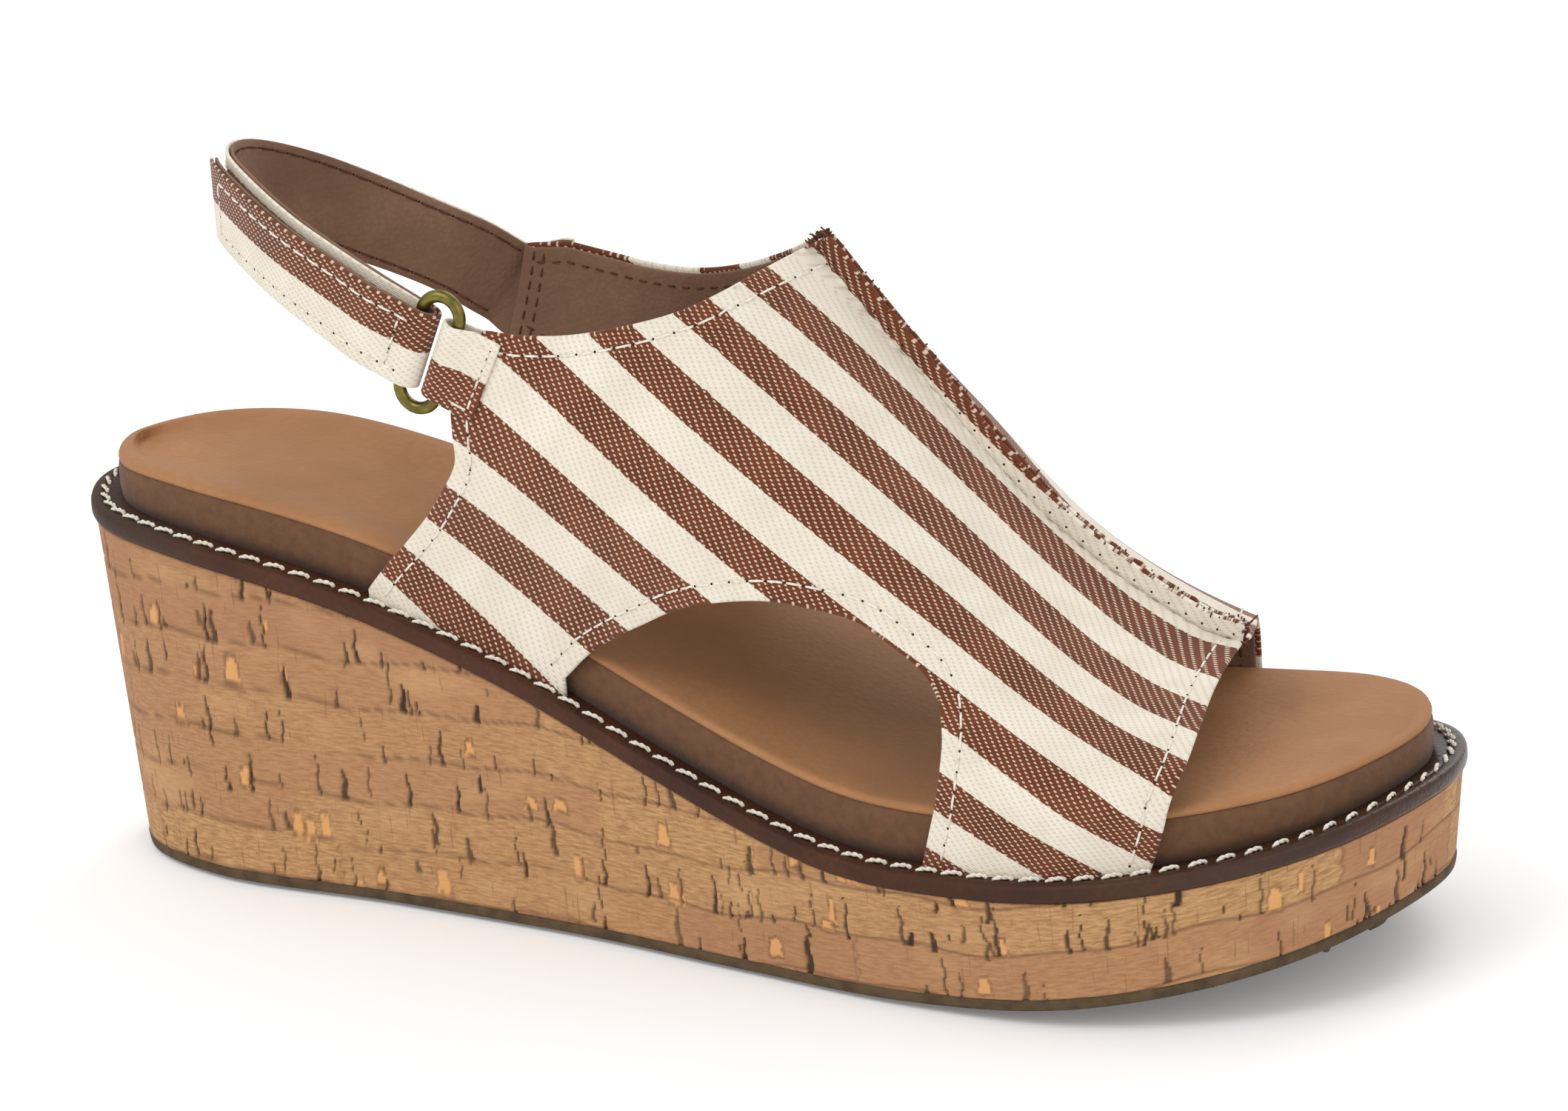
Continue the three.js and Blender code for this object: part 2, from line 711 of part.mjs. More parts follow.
// The sewn end leaves the strap's own curve and lies flat on the inner panel.
function lapGeometry() {
  const from = strapLength - LAP_PIECE + GAP;
  const panelStart = strapLength - LAP_LENGTH - 1;
  const steps = 5;
  const face = (out) =>
    Array.from({ length: steps + 1 }, (_, i) => {
      const distance = lerp(from, strapLength, i / steps);
      const share = smoothstep(distance, from, panelStart);
      return acrossStations(STRAP_WIDTH).map((across) => {
        const free = strapPoint(distance, across, out);
        const sewn = onUpper(MEDIAL, free.x, free.z, lapOffset + out);
        return free.lerp(sewn, share);
      });
    });
  return sheet(face(STRAP_THICKNESS), face(0));
}

const strapLayers = {
  lining: 0,
  shell: STRAP_PLY + GAP,
  loops: STRAP_THICKNESS + GAP,
};
strapLayers.hooks = strapLayers.loops + PATCH_THICKNESS + GAP;
strapLayers.tailLining = STRAP_THICKNESS + 2 * PLY_INNER;
strapLayers.tailShell = strapLayers.tailLining + STRAP_PLY + GAP;
const HOOK_THICKNESS = strapLayers.tailLining - GAP - strapLayers.hooks;

// ---------------------------------------------------------------- the assembly

const sandal = new THREE.Group();

function add(name, geometry, color, roughness, metalness = 0) {
  const material = new THREE.MeshStandardMaterial({ color, roughness, metalness });
  const mesh = new THREE.Mesh(geometry, material);
  mesh.name = name;
  sandal.add(mesh);
}

const RUBBER = 0x58482f;
const FOAM = 0xb9a58c;
const CORK = 0xb98c62;
const WELT_LEATHER = 0x5a3420;
const THREAD = 0xefe6d6;
const BOARD = 0x9c8a70;
const SUEDE = 0x7d5c46;
const SOCK_LEATHER = 0xaf825d;
const STRIPED_FABRIC = 0xb58a72;
const LINING_LEATHER = 0x7d5f4b;
const BRASS = 0x7d7337;
const LOOP_PILE = 0x2b2724;

function buildSole() {
  const corkAtTop = CORK_INSET;
  const corkAtGround = (x) => CORK_INSET + taper(x);
  const above = (height, gap) => (x) => height(x) + gap;
  const outsoleTop = above(ground, OUTSOLE_THICKNESS);
  const coreBottom = above(outsoleTop, GAP);
  const coreTop = above(weltBottom, -GAP);
  add(
    "outsole",
    plate([
      [(x) => corkAtGround(x) + 1.2, ground],
      [(x) => corkAtGround(x) + 0.4, above(ground, 0.8)],
      [corkAtGround, outsoleTop],
    ]),
    RUBBER,
    0.8,
  );
  add(
    "cork_wrap",
    band([
      [corkAtGround, coreBottom],
      [corkAtTop, coreTop],
      [corkAtTop + CORK_THICKNESS, coreTop],
      [(x) => corkAtGround(x) + CORK_THICKNESS, coreBottom],
    ]),
    CORK,
    0.75,
  );
  const coreInset = CORK_THICKNESS + GAP;
  add(
    "wedge_core",
    plate([
      [(x) => corkAtGround(x) + coreInset, coreBottom],
      [corkAtTop + coreInset, coreTop],
    ]),
    FOAM,
    0.9,
  );
  const ring = band([
    [WELT_ROUND, weltBottom],
    [0, above(weltBottom, WELT_ROUND)],
    [0, above(weltTop, -WELT_ROUND)],
    [WELT_ROUND, weltTop],
    [WELT_INNER_INSET, weltTop],
    [WELT_INNER_INSET, weltBottom],
  ]);
  let welt = solidOf(ring);
  for (const side of [LATERAL, MEDIAL]) {
    const legs = [
      [LEG_REAR, CUTOUT_REAR],
      [CUTOUT_FRONT, FRONT_EDGE[side][0][1] + POCKET_LEAN],
    ];
    for (const [from, to] of legs) {
      const pocket = legPocket(side, from * LENGTH_GRADE, to * LENGTH_GRADE);
      welt = welt.subtract(solidOf(pocket));
    }
  }
  add("welt", geometryOf(welt), WELT_LEATHER, 0.45);
  const threadSides = 4;
  const threadSection = Array.from({ length: threadSides }, (_, k) => {
    const angle = (2 * Math.PI * k) / threadSides;
    const rise = GAP + THREAD_RADIUS * (1 + Math.sin(angle));
    return [THREAD_INSET + THREAD_RADIUS * Math.cos(angle), above(weltTop, rise)];
  });
  add("welt_thread", band(threadSection), THREAD, 0.7);
  add(
    "insole_board",
    plate([
      [WELT_INNER_INSET + GAP, weltBottom],
      [WELT_INNER_INSET + GAP, weltTop],
    ]),
    BOARD,
    0.9,
  );
  const foamTop = above(footbedTop, -TOP_SOCK_THICKNESS - GAP);
  const foamInset = FOOTBED_INSET + SIDE_WRAP_THICKNESS + GAP;
  add(
    "footbed_foam",
    plate([
      [foamInset, above(weltTop, GAP)],
      [foamInset, foamTop],
    ]),
    FOAM,
    0.9,
  );
  add(
    "footbed_side_wrap",
    band([
      [FOOTBED_INSET, above(weltTop, GAP)],
      [FOOTBED_INSET, foamTop],
      [FOOTBED_INSET + SIDE_WRAP_THICKNESS, foamTop],
      [FOOTBED_INSET + SIDE_WRAP_THICKNESS, above(weltTop, GAP)],
    ]),
    SUEDE,
    0.95,
  );
  add(
    "footbed_top_sock",
    plate([
      [FOOTBED_INSET, above(foamTop, GAP)],
      [FOOTBED_INSET + 0.7, footbedTop],
    ]),
    SOCK_LEATHER,
    0.7,
  );
}

function buildUpper() {
  const tabEdge = [8, 0, -8].map((along) => {
    const corner = ringPoint(along, -TAB_FLAT_START - 0.3, 0);
    return new THREE.Vector2(corner.x, corner.z);
  });
  const strapRoot = [STRAP_WIDTH / 2 + 0.6, -STRAP_WIDTH / 2 - 0.6].map((across) => {
    const corner = strapPoint(strapLength - LAP_LENGTH, across, 0);
    return new THREE.Vector2(corner.x, corner.z);
  });
  const corners = { [LATERAL]: tabEdge, [MEDIAL]: strapRoot };
  const names = { [LATERAL]: "vamp_lateral", [MEDIAL]: "vamp_medial" };
  for (const side of [LATERAL, MEDIAL]) {
    const prism = outlinePrism(panelOutline(side, corners[side]));
    const shell = panel(side, SHELL_OFFSET, FABRIC_THICKNESS, SEAM_HEIGHT, prism);
    const lining = panel(side, 0, LINING_THICKNESS, 0, prism);
    add(`${names[side]}_shell`, shell, STRIPED_FABRIC, 0.85);
    add(`${names[side]}_lining`, lining, LINING_LEATHER, 0.7);
  }
}

function buildStrap() {
  add("ring_tab", tabGeometry(), STRIPED_FABRIC, 0.85);
  add("ring", ringGeometry(), BRASS, 0.35, 1);
  add("strap_fold", foldGeometry(), STRIPED_FABRIC, 0.85);
  const { lining, shell, loops, hooks, tailLining, tailShell } = strapLayers;
  const moving = strapLength - LAP_PIECE;
  add("sling_shell", strapPiece(0, moving, STRAP_WIDTH, shell, STRAP_PLY, FOLD_WIDTH), STRIPED_FABRIC, 0.85);
  add("sling_lining", strapPiece(0, moving, STRAP_WIDTH, lining, STRAP_PLY, FOLD_WIDTH), LINING_LEATHER, 0.7);
  add("sling_lap", lapGeometry(), STRIPED_FABRIC, 0.85);
  const patchEnd = TAIL_LENGTH - 4;
  add("loop_patch", strapPiece(PATCH_START, patchEnd, PATCH_WIDTH, loops, PATCH_THICKNESS), LOOP_PILE, 0.95);
  add("hook_patch", strapPiece(PATCH_START, patchEnd, PATCH_WIDTH, hooks, HOOK_THICKNESS), LOOP_PILE, 0.95);
  add("tail_lining", strapPiece(0, TAIL_LENGTH, FOLD_WIDTH, tailLining, STRAP_PLY), LINING_LEATHER, 0.7);
  add("tail_shell", strapPiece(0, TAIL_LENGTH, FOLD_WIDTH, tailShell, STRAP_PLY), STRIPED_FABRIC, 0.85);
}

buildSole();
buildUpper();
buildStrap();

// The origin is the middle of the object's footprint.
const bounds = new THREE.Box3().setFromObject(sandal);
const middle = bounds.getCenter(new THREE.Vector3());
sandal.position.set(-middle.x, -middle.y, -bounds.min.z);

// Where the strap, the ring and the tail turn, in the placed object's frame.
const placed = (point) => point.add(sandal.position);
const tailRoot = PLY_INNER + STRAP_THICKNESS;
export const hinges = {
  strapAtRing: placed(ringPoint(0, -BAR_OFFSET, 0)),
  strapAtLap: placed(strapPoint(strapLength - LAP_PIECE, 0, STRAP_THICKNESS / 2)),
  ringBar: placed(ringPoint(0, BAR_OFFSET, 0)),
  tailCorner: placed(ringPoint(0, PLY_START - GAP / 2, tailRoot)),
  barAxis,
};

export default sandal;
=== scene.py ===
# The wedge sandal's looks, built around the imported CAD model.
import math

import bmesh
import bpy
import numpy as np
from mathutils import Matrix, Vector
from mathutils.geometry import delaunay_2d_cdt


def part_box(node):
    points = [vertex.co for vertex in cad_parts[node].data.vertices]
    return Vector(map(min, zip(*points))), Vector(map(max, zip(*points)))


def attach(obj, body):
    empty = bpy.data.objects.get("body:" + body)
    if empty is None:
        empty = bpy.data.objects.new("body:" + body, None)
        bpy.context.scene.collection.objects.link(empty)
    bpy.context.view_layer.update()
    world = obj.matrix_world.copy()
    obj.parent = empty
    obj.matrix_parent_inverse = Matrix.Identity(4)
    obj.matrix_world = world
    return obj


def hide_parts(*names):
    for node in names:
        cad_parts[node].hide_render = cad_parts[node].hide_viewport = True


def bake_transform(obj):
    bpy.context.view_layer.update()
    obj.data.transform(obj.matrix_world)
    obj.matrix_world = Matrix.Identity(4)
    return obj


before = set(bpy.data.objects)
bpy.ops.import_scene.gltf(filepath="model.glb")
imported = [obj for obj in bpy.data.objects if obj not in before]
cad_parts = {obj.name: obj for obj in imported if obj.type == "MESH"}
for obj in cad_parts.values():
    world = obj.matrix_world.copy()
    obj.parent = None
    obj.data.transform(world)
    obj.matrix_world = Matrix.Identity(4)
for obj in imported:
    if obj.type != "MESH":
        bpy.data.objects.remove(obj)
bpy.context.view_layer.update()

scene = bpy.context.scene
rng = np.random.default_rng(7)
BASE, STRAP, RING, TAIL = "upper_and_sole", "heel_strap", "ring", "strap_tail"
LATERAL, MEDIAL = -1, 1

# ---------------------------------------------------------------- camera

AZIMUTH, ELEVATION, ROLL = (math.radians(a) for a in (28.44, 18.25, 4.04))
TARGET, DISTANCE = Vector((0, 0.0019, 0.060)), 1.287
back = Vector((math.sin(AZIMUTH) * math.cos(ELEVATION),
               -math.cos(AZIMUTH) * math.cos(ELEVATION),
               math.sin(ELEVATION)))
right = Vector((math.cos(AZIMUTH), math.sin(AZIMUTH), 0))
upward = back.cross(right)
cam_x = right * math.cos(ROLL) - upward * math.sin(ROLL)
cam_y = right * math.sin(ROLL) + upward * math.cos(ROLL)
lens = bpy.data.cameras.new("camera")
lens.sensor_width, lens.lens = 36, 167.42
lens.shift_x, lens.shift_y = 0.02624, 0.00972
lens.clip_start = 0.01
camera = bpy.data.objects.new("camera", lens)
scene.collection.objects.link(camera)
pose = Matrix((cam_x, cam_y, back)).transposed().to_4x4()
pose.translation = TARGET + back * DISTANCE
camera.matrix_world = pose
scene.camera = camera

# ---------------------------------------------------------------- the CAD model's curves, in millimetres

HEEL_HEIGHT, PLATFORM_HEIGHT, TOE_SPRING, TOE_THINNING, FLAT_END, HALF = 68, 25.5, 13.5, 4, 26, 131
HEEL_TAPER, FRONT_TAPER, GAP = 4, 1.8, 0.3
OUTSOLE, CORK_INSET, CORK, WELT, WELT_INNER = 2.8, 0.8, 1.3, 3.4, 16
FOOTBED_HEIGHT, FOOTBED_END_DROP, FOOTBED_INSET = 10.5, 3, 5.8
# [x, half width on the outer side, half width on the inner side]
OUTLINE = [(-122, 19.5, 17.5), (-100, 30, 27), (-60, 31.5, 29), (-21, 35, 31.5), (16, 41.5, 36.5),
           (50, 47, 42.5), (81, 47.5, 44.5), (107, 37.5, 41), (123, 21.5, 29)]
LOOP = [(-HALF, 0)] + [(x, -o) for x, o, _ in OUTLINE] + [(HALF, 8)] + [(x, i) for x, _, i in OUTLINE[::-1]]


def unit(v):
    return v / np.maximum(np.linalg.norm(v, axis=-1, keepdims=True), 1e-12)


def run_along(path):
    """The distance along a path at each of its points."""
    return np.r_[0, np.cumsum(np.linalg.norm(np.diff(path, axis=0), axis=1))]


def at_run(distance, run, table):
    """The rows of a table at the given distances along it."""
    return np.stack([np.interp(distance, run, table[:, c]) for c in range(table.shape[1])], -1)


def spline(points, closed, t):
    """A centripetal Catmull-Rom curve through the points, at the shares t."""
    pts = np.asarray(points, float)
    n = len(pts)
    p = (n - (0 if closed else 1)) * np.atleast_1d(np.asarray(t, float))
    i = np.floor(p).astype(int)
    w = p - i
    if not closed:
        w[i >= n - 1] = 1
        i[i >= n - 1] = n - 2

    def at(k):
        if closed:
            return pts[k % n]
        out = pts[np.clip(k, 0, n - 1)].copy()
        out[k < 0] = 2 * pts[0] - pts[1]
        out[k > n - 1] = 2 * pts[-1] - pts[-2]
        return out

    p0, p1, p2, p3 = at(i - 1), at(i), at(i + 1), at(i + 2)
    d0, d1, d2 = (np.maximum(((b - a) ** 2).sum(1)[:, None], 1e-8) ** 0.25
                  for a, b in ((p0, p1), (p1, p2), (p2, p3)))
    t1 = ((p1 - p0) / d0 - (p2 - p0) / (d0 + d1) + (p2 - p1) / d1) * d1
    t2 = ((p2 - p1) / d1 - (p3 - p1) / (d1 + d2) + (p3 - p2) / d2) * d1
    w = w[:, None]
    return p1 + t1 * w + (-3 * p1 + 3 * p2 - 2 * t1 - t2) * w ** 2 + (2 * p1 - 2 * p2 + t1 + t2) * w ** 3


def curve(points):
    """A smooth height function through the points, cubic between them."""
    xs, ys = np.array(points, float).T
    n = len(xs)
    a, b = np.maximum(np.arange(n) - 1, 0), np.minimum(np.arange(n) + 1, n - 1)
    slope = (ys[b] - ys[a]) / (xs[b] - xs[a])

    def f(x):
        x = np.asarray(x, float)
        i = np.clip(np.searchsorted(xs, x, side="right") - 1, 0, n - 2)
        s = xs[i + 1] - xs[i]
        t = (x - xs[i]) / s
        rise = ys[i] * (1 + 2 * t) * (1 - t) ** 2 + ys[i + 1] * t * t * (3 - 2 * t)
        return rise + s * t * (1 - t) * (slope[i] * (1 - t) - slope[i + 1] * t)

    return f


def smooth(x, a, b):
    """0 up to a and 1 from b on, with a smooth rise between."""
    t = np.clip((np.asarray(x, float) - a) / (b - a), 0, 1)
    return t * t * (3 - 2 * t)


wedge_rise = curve([(-131, 1), (-98, .955), (-65, .8), (-33, .577), (0, .282), (33, .045), (62, 0), (131, 0)])
toe = lambda x: np.clip((x - FLAT_END) / (HALF - FLAT_END), 0, 1)
ground = lambda x: TOE_SPRING * toe(x) ** 2.4
welt_top = lambda x: (PLATFORM_HEIGHT + (HEEL_HEIGHT - PLATFORM_HEIGHT) * wedge_rise(x) + ground(x)
                      - TOE_THINNING * toe(x) ** 2)
footbed_top = lambda x: welt_top(x) + FOOTBED_HEIGHT - FOOTBED_END_DROP * np.minimum(np.abs(x) / HALF, 1) ** 4
taper = lambda x: HEEL_TAPER + (FRONT_TAPER - HEEL_TAPER) * smooth(x, -HALF, -FLAT_END)
cork_ground = lambda x: CORK_INSET + taper(x)


def loop(inset, n):
    """n evenly spaced points of the outline moved inwards, [x, y], and the distance along it at each."""
    fine = np.arange(4000) / 4000
    p = spline(LOOP, True, fine)
    run = run_along(np.vstack([p, p[:1]]))
    t = np.interp(np.arange(n) / n * run[-1], run, np.r_[fine, 1])
    p = spline(LOOP, True, t % 1)
    q = spline(LOOP, True, (t + 1e-4) % 1) - spline(LOOP, True, (t - 1e-4) % 1)
    q /= np.linalg.norm(q, axis=1)[:, None]
    d = inset(p[:, 0]) if callable(inset) else inset
    return np.stack([p[:, 0] - q[:, 1] * d, p[:, 1] + q[:, 0] * d], 1), run[-1] * np.arange(n) / n


# The CAD model is centred on its footprint, which moves it sideways.
low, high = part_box("welt")
edge, _ = loop(0, 1600)
SHIFT = np.array([0, (low.y + high.y) * 500 - (edge[:, 1].min() + edge[:, 1].max()) / 2, 0])

# ---------------------------------------------------------------- the upper's surface

WALL_SHARE, POCKET, ARCH_POWER, RIDGE_ANGLE = 0.2, 2.2, 2.3, math.radians(78)
SEAM_GAP, SEAM_FROM, MEDIAL_DIP = 0.15, 8, 1.5  # beside the ridge; the seam's rear end; the inner panel's sag
ANKLE_FLARE, FLARE_REACH, GRID_TOP = 10, 42, 72
UPPER_INSET = FOOTBED_INSET - GAP - 0.15
SHELL_IN, SHELL_OUT, LINING = 0.9, 1.8, 0.6
ridge_height = curve([(-66, 150), (-35, 122), (0, 92.8), (16, 77.8), (36, 58.4), (58, 34.9), (83, 16.7),
                      (94, 12.6), (106, 8)])
ridge_z = lambda x: footbed_top(x) + ridge_height(x)
ridge_y = lambda x: 2 + 0.092 * (x - 18)
rim, _ = loop(UPPER_INSET, 3000)
tip_in, tip_out = rim[:, 0].argmin(), rim[:, 0].argmax()
side_rims = {LATERAL: np.roll(rim, -tip_in, 0)[: (tip_out - tip_in) % 3000 + 1],
             MEDIAL: np.roll(rim, -tip_out, 0)[: (tip_in - tip_out) % 3000 + 1][::-1]}


def inner_face(side, x, v):
    """The upper's inner face at x: v runs up the wall beside the footbed, then over the arch to the ridge."""
    x, v = np.broadcast_arrays(np.asarray(x, float), np.asarray(v, float))
    wide = np.interp(x, side_rims[side][:, 0], side_rims[side][:, 1])
    foot, mid = footbed_top(x), ridge_y(x)
    rise = ridge_z(x) - foot
    top = np.minimum(1, (GRID_TOP + np.maximum(x, 0)) / rise) ** (ARCH_POWER / 2)
    angle = np.arcsin(top * math.sin(RIDGE_ANGLE)) * np.clip(v - WALL_SHARE, 0, 1) / (1 - WALL_SHARE)
    up = (np.sin(angle) / math.sin(RIDGE_ANGLE)) ** (2 / ARCH_POWER)
    flat = (np.cos(angle) - math.cos(RIDGE_ANGLE)) / (1 - math.cos(RIDGE_ANGLE))
    out = np.maximum(flat, 0) ** (2 / ARCH_POWER)
    flare = ANKLE_FLARE * np.clip((70 - x) / 120, 0, 1) * smooth(rise * up, 0, FLARE_REACH)
    y = mid + (wide - mid) * out + side * flare * np.cos(angle) ** 2
    wall = v <= WALL_SHARE
    bottom = welt_top(x) - POCKET
    z = np.where(wall, bottom + (foot - bottom) * v / WALL_SHARE, foot + rise * up)
    return np.stack([x, np.where(wall, wide, y), z], -1)


def face_normal(side, x, v):
    along = inner_face(side, x + 1, v) - inner_face(side, x - 1, v)
    rise = inner_face(side, x, np.minimum(v + .01, 1)) - inner_face(side, x, np.maximum(v - .01, 0))
    return unit(np.cross(along, rise) * -side)


class Cloth:
    """One side of the upper as flat cloth: x is the place along the foot, q the height along the cloth."""

    STEP = 0.5

    def __init__(self, side):
        self.side = side
        self.xs = np.arange(-72, 106, self.STEP)
        self.v = np.linspace(0, 1, 260)
        grid, level = np.meshgrid(self.xs, self.v, indexing="ij")
        p = inner_face(side, grid, level)
        run = np.cumsum(np.linalg.norm(np.diff(p, axis=1), axis=-1), 1)
        run = np.concatenate([np.zeros((len(self.xs), 1)), run], 1)
        start = np.array([np.interp(WALL_SHARE, self.v, r) for r in run])
        self.q = footbed_top(self.xs)[:, None] + run - start[:, None]
        self.z = (p + face_normal(side, grid, level) * SHELL_OUT)[..., 2]
        self.top = self.q[:, -1]

    def column(self, x):
        c = np.clip((x - self.xs[0]) / self.STEP, 0, len(self.xs) - 1.001)
        i = c.astype(int)
        return i, c - i

    def look_up(self, table, x, value, result):
        i, share = self.column(x)
        out = np.zeros((2, len(x)))
        for k in np.unique(i):
            here = i == k
            for n in (0, 1):
                out[n, here] = np.interp(value[here], table[k + n], result(k + n))
        return out[0] * (1 - share) + out[1] * share

    def v_of_q(self, x, q):
        return self.look_up(self.q, x, q, lambda k: self.v)

    def q_of_z(self, x, z):
        return self.look_up(self.z, x, z, lambda k: self.q[k])

    def q_of_v(self, x, v):
        i, share = self.column(x)
        a, b = (np.array([np.interp(w, self.v, self.q[k]) for w, k in zip(v, i + n)]) for n in (0, 1))
        return a * (1 - share) + b * share

    def ridge_q(self, x):
        return np.interp(x, self.xs, self.top)

    def place(self, x, q, off):
        """Points and outward normals, off the inner face; past the seam the cloth stands up as its flange."""
        x, q = np.asarray(x, float), np.asarray(q, float)
        ridge = self.ridge_q(x)
        over = np.where(x > SEAM_FROM, q - ridge, -1)
        v = np.minimum(self.v_of_q(x, np.minimum(q, ridge)), 1)
        p, n = inner_face(self.side, x, v), face_normal(self.side, x, v)
        p = p + n * off
        if self.side == MEDIAL:
            down = 1 - v
            p[:, 2] -= MEDIAL_DIP * smooth(x, 35, 62) * smooth(down, 0, 0.1) * (1 - smooth(down, 0.3, 0.6))
        beside = SEAM_GAP + max(off - SHELL_IN, 0)
        clear = np.maximum(self.side * (p[:, 1] - ridge_y(x)), beside)
        p[:, 1] = ridge_y(x) + self.side * clear
        run = unit(np.stack([np.ones_like(x), (ridge_z(x + 1) - ridge_z(x - 1)) / 2], -1))
        flange = over > 0
        if flange.any():
            base = np.stack([x, ridge_y(x), ridge_z(x)], -1)
            lift = over + 0.7
            up = np.stack([base[:, 0] - run[:, 1] * lift,
                           base[:, 1] + self.side * beside,
                           base[:, 2] + run[:, 0] * lift], -1)
            sharp = smooth(over, 0, 1.2)[:, None]
            p = np.where(flange[:, None], p * (1 - sharp) + up * sharp, p)
            sideways = np.zeros_like(n)
            sideways[:, 1] = self.side
            n = np.where(flange[:, None], unit(n * (1 - sharp) + sideways * sharp), n)
        return p, n


cloth = {side: Cloth(side) for side in (LATERAL, MEDIAL)}

# The stripes' number as a smooth function of the place on the cloth: its powers of x and q and their factors.
STRIPE_TERMS = [(0, 0, 6.1429), (0, 1, -5.0615), (0, 2, -0.4052), (0, 3, 0.0514), (0, 4, -0.1457),
                (1, 0, -5.407), (1, 1, -2.3826), (1, 2, 0.7997), (1, 3, 0.296), (2, 0, -0.8625),
                (2, 1, 1.1212), (2, 2, 1.2842), (3, 0, 0.7069), (3, 1, 1.7261), (4, 0, 0.4059)]
STRIPE, FLANGE = 6.5, 4.3  # width of a stripe, height of the raised seam
GRAIN = math.radians(-35)  # the yarns' slant on the cloth


def stripe_number(x, q):
    """Brown between 0 and 1, cream between 1 and 2, and so on."""
    a, b = (x - 20) / 60, (q - 80) / 40
    return sum(c * a ** i * b ** j for i, j, c in STRIPE_TERMS)


def cloth_coords(x, q, ridge):
    """[stripe number, mm across the stripes, mm along them]; the flange has a brown top at the instep."""
    k = np.maximum(stripe_number(x, q), -0.96)
    lift = q - ridge - FLANGE * np.clip((x - 20) / 36, 0, 1)
    k = np.where((q > ridge) & (x > SEAM_FROM), -1 - lift / STRIPE, k)
    return np.stack([k, k * STRIPE, x * math.cos(GRAIN) + q * math.sin(GRAIN)], -1)


# ---------------------------------------------------------------- meshes

def metres(points):
    """Points of the pattern, in millimetres, as places in the frame."""
    return (np.asarray(points) + SHIFT) * 0.001


def piece(name, points, faces, body, slot, material, attributes=None):
    """A smooth mesh piece; with a body it is attached to that body's empty."""
    mesh = bpy.data.meshes.new(name)
    mesh.from_pydata(metres(points).tolist(), [], [list(f) for f in faces])
    mesh.validate()
    for key, values in (attributes or {}).items():
        values = np.asarray(values, np.float32)
        kind = "FLOAT" if values.ndim == 1 else "FLOAT_VECTOR"
        attribute = mesh.attributes.new(key, kind, "POINT")
        attribute.data.foreach_set("value" if values.ndim == 1 else "vector", values.ravel())
    mesh.polygons.foreach_set("use_smooth", [True] * len(mesh.polygons))
    mesh.update()
    obj = bpy.data.objects.new(name, mesh)
    scene.collection.objects.link(obj)
    mesh.materials.append(material)
    if body:
        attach(obj, body)
    return obj


def grid_faces(rows, columns, wrap=False, start=0):
    """The faces of a grid of points; with wrap each row closes on itself."""
    r, c = np.meshgrid(np.arange(rows - 1), np.arange(columns if wrap else columns - 1), indexing="ij")
    a, b = start + r * columns + c, start + r * columns + (c + 1) % columns
    return np.stack([a, b, b + columns, a + columns], -1).reshape(-1, 4)


def closed_faces(rows, columns):
    """The faces of a grid that closes on itself both ways."""
    i, last = np.arange(columns), (rows - 1) * columns
    j = (i + 1) % columns
    return np.vstack([grid_faces(rows, columns, True), np.stack([last + i, last + j, j, i], 1)]).tolist()


EDGE_ROWS = 3


def thicken(mid, normal, faces, edge, outward, thickness):
    """A closed sheet round a middle surface, with round edges. edge is the boundary in order."""
    half = thickness / 2
    count = len(mid)
    points = [mid + normal * half, mid - normal * half]
    flat = [list(f) for f in faces]
    flat += [[v + count for v in f[::-1]] for f in faces]
    m = len(edge)
    following = np.roll(np.arange(m), -1)
    rings = [np.array(edge)]
    for k in range(1, EDGE_ROWS + 1):
        angle = math.pi * k / (EDGE_ROWS + 1)
        points.append(mid[edge] + normal[edge] * half * math.cos(angle) + outward * half * math.sin(angle))
        rings.append(2 * count + (k - 1) * m + np.arange(m))
    rings.append(np.array(edge) + count)
    for a, b in zip(rings, rings[1:]):
        flat += np.stack([a, b, b[following], a[following]], -1).tolist()
    return np.vstack(points), flat


def spread(values, edge):
    """Attributes of a thickened sheet, from those of its middle surface."""
    return np.concatenate([values, values] + [values[edge]] * EDGE_ROWS)


def face_outwards(obj):
    bm = bmesh.new()
    bm.from_mesh(obj.data)
    bmesh.ops.recalc_face_normals(bm, faces=bm.faces)
    bm.to_mesh(obj.data)
    bm.free()


def grid_sheet(name, mid, thickness, body, slot, material, cloth_place):
    """A closed sheet from a grid of middle points [row, column, 3] and its cloth coordinates."""
    rows, columns = mid.shape[:2]
    along, across = (np.gradient(mid, axis=axis) for axis in (0, 1))
    normal = unit(np.cross(along, across))
    number = np.arange(rows * columns).reshape(rows, columns)
    edge = np.r_[number[0, :-1], number[:-1, -1], number[-1, :0:-1], number[:0:-1, 0]]
    r, c = edge // columns, edge % columns
    outward = unit(along[r, c]) * ((r == rows - 1) * 1.0 - (r == 0))[:, None]
    outward += unit(across[r, c]) * ((c == columns - 1) * 1.0 - (c == 0))[:, None]
    mid, normal, cloth_place = (table.reshape(-1, 3) for table in (mid, normal, cloth_place))
    points, faces = thicken(mid, normal, grid_faces(rows, columns), edge, unit(outward), thickness)
    obj = piece(name, points, faces, body, slot, material, {"cloth": spread(cloth_place, edge)})
    face_outwards(obj)
    return obj


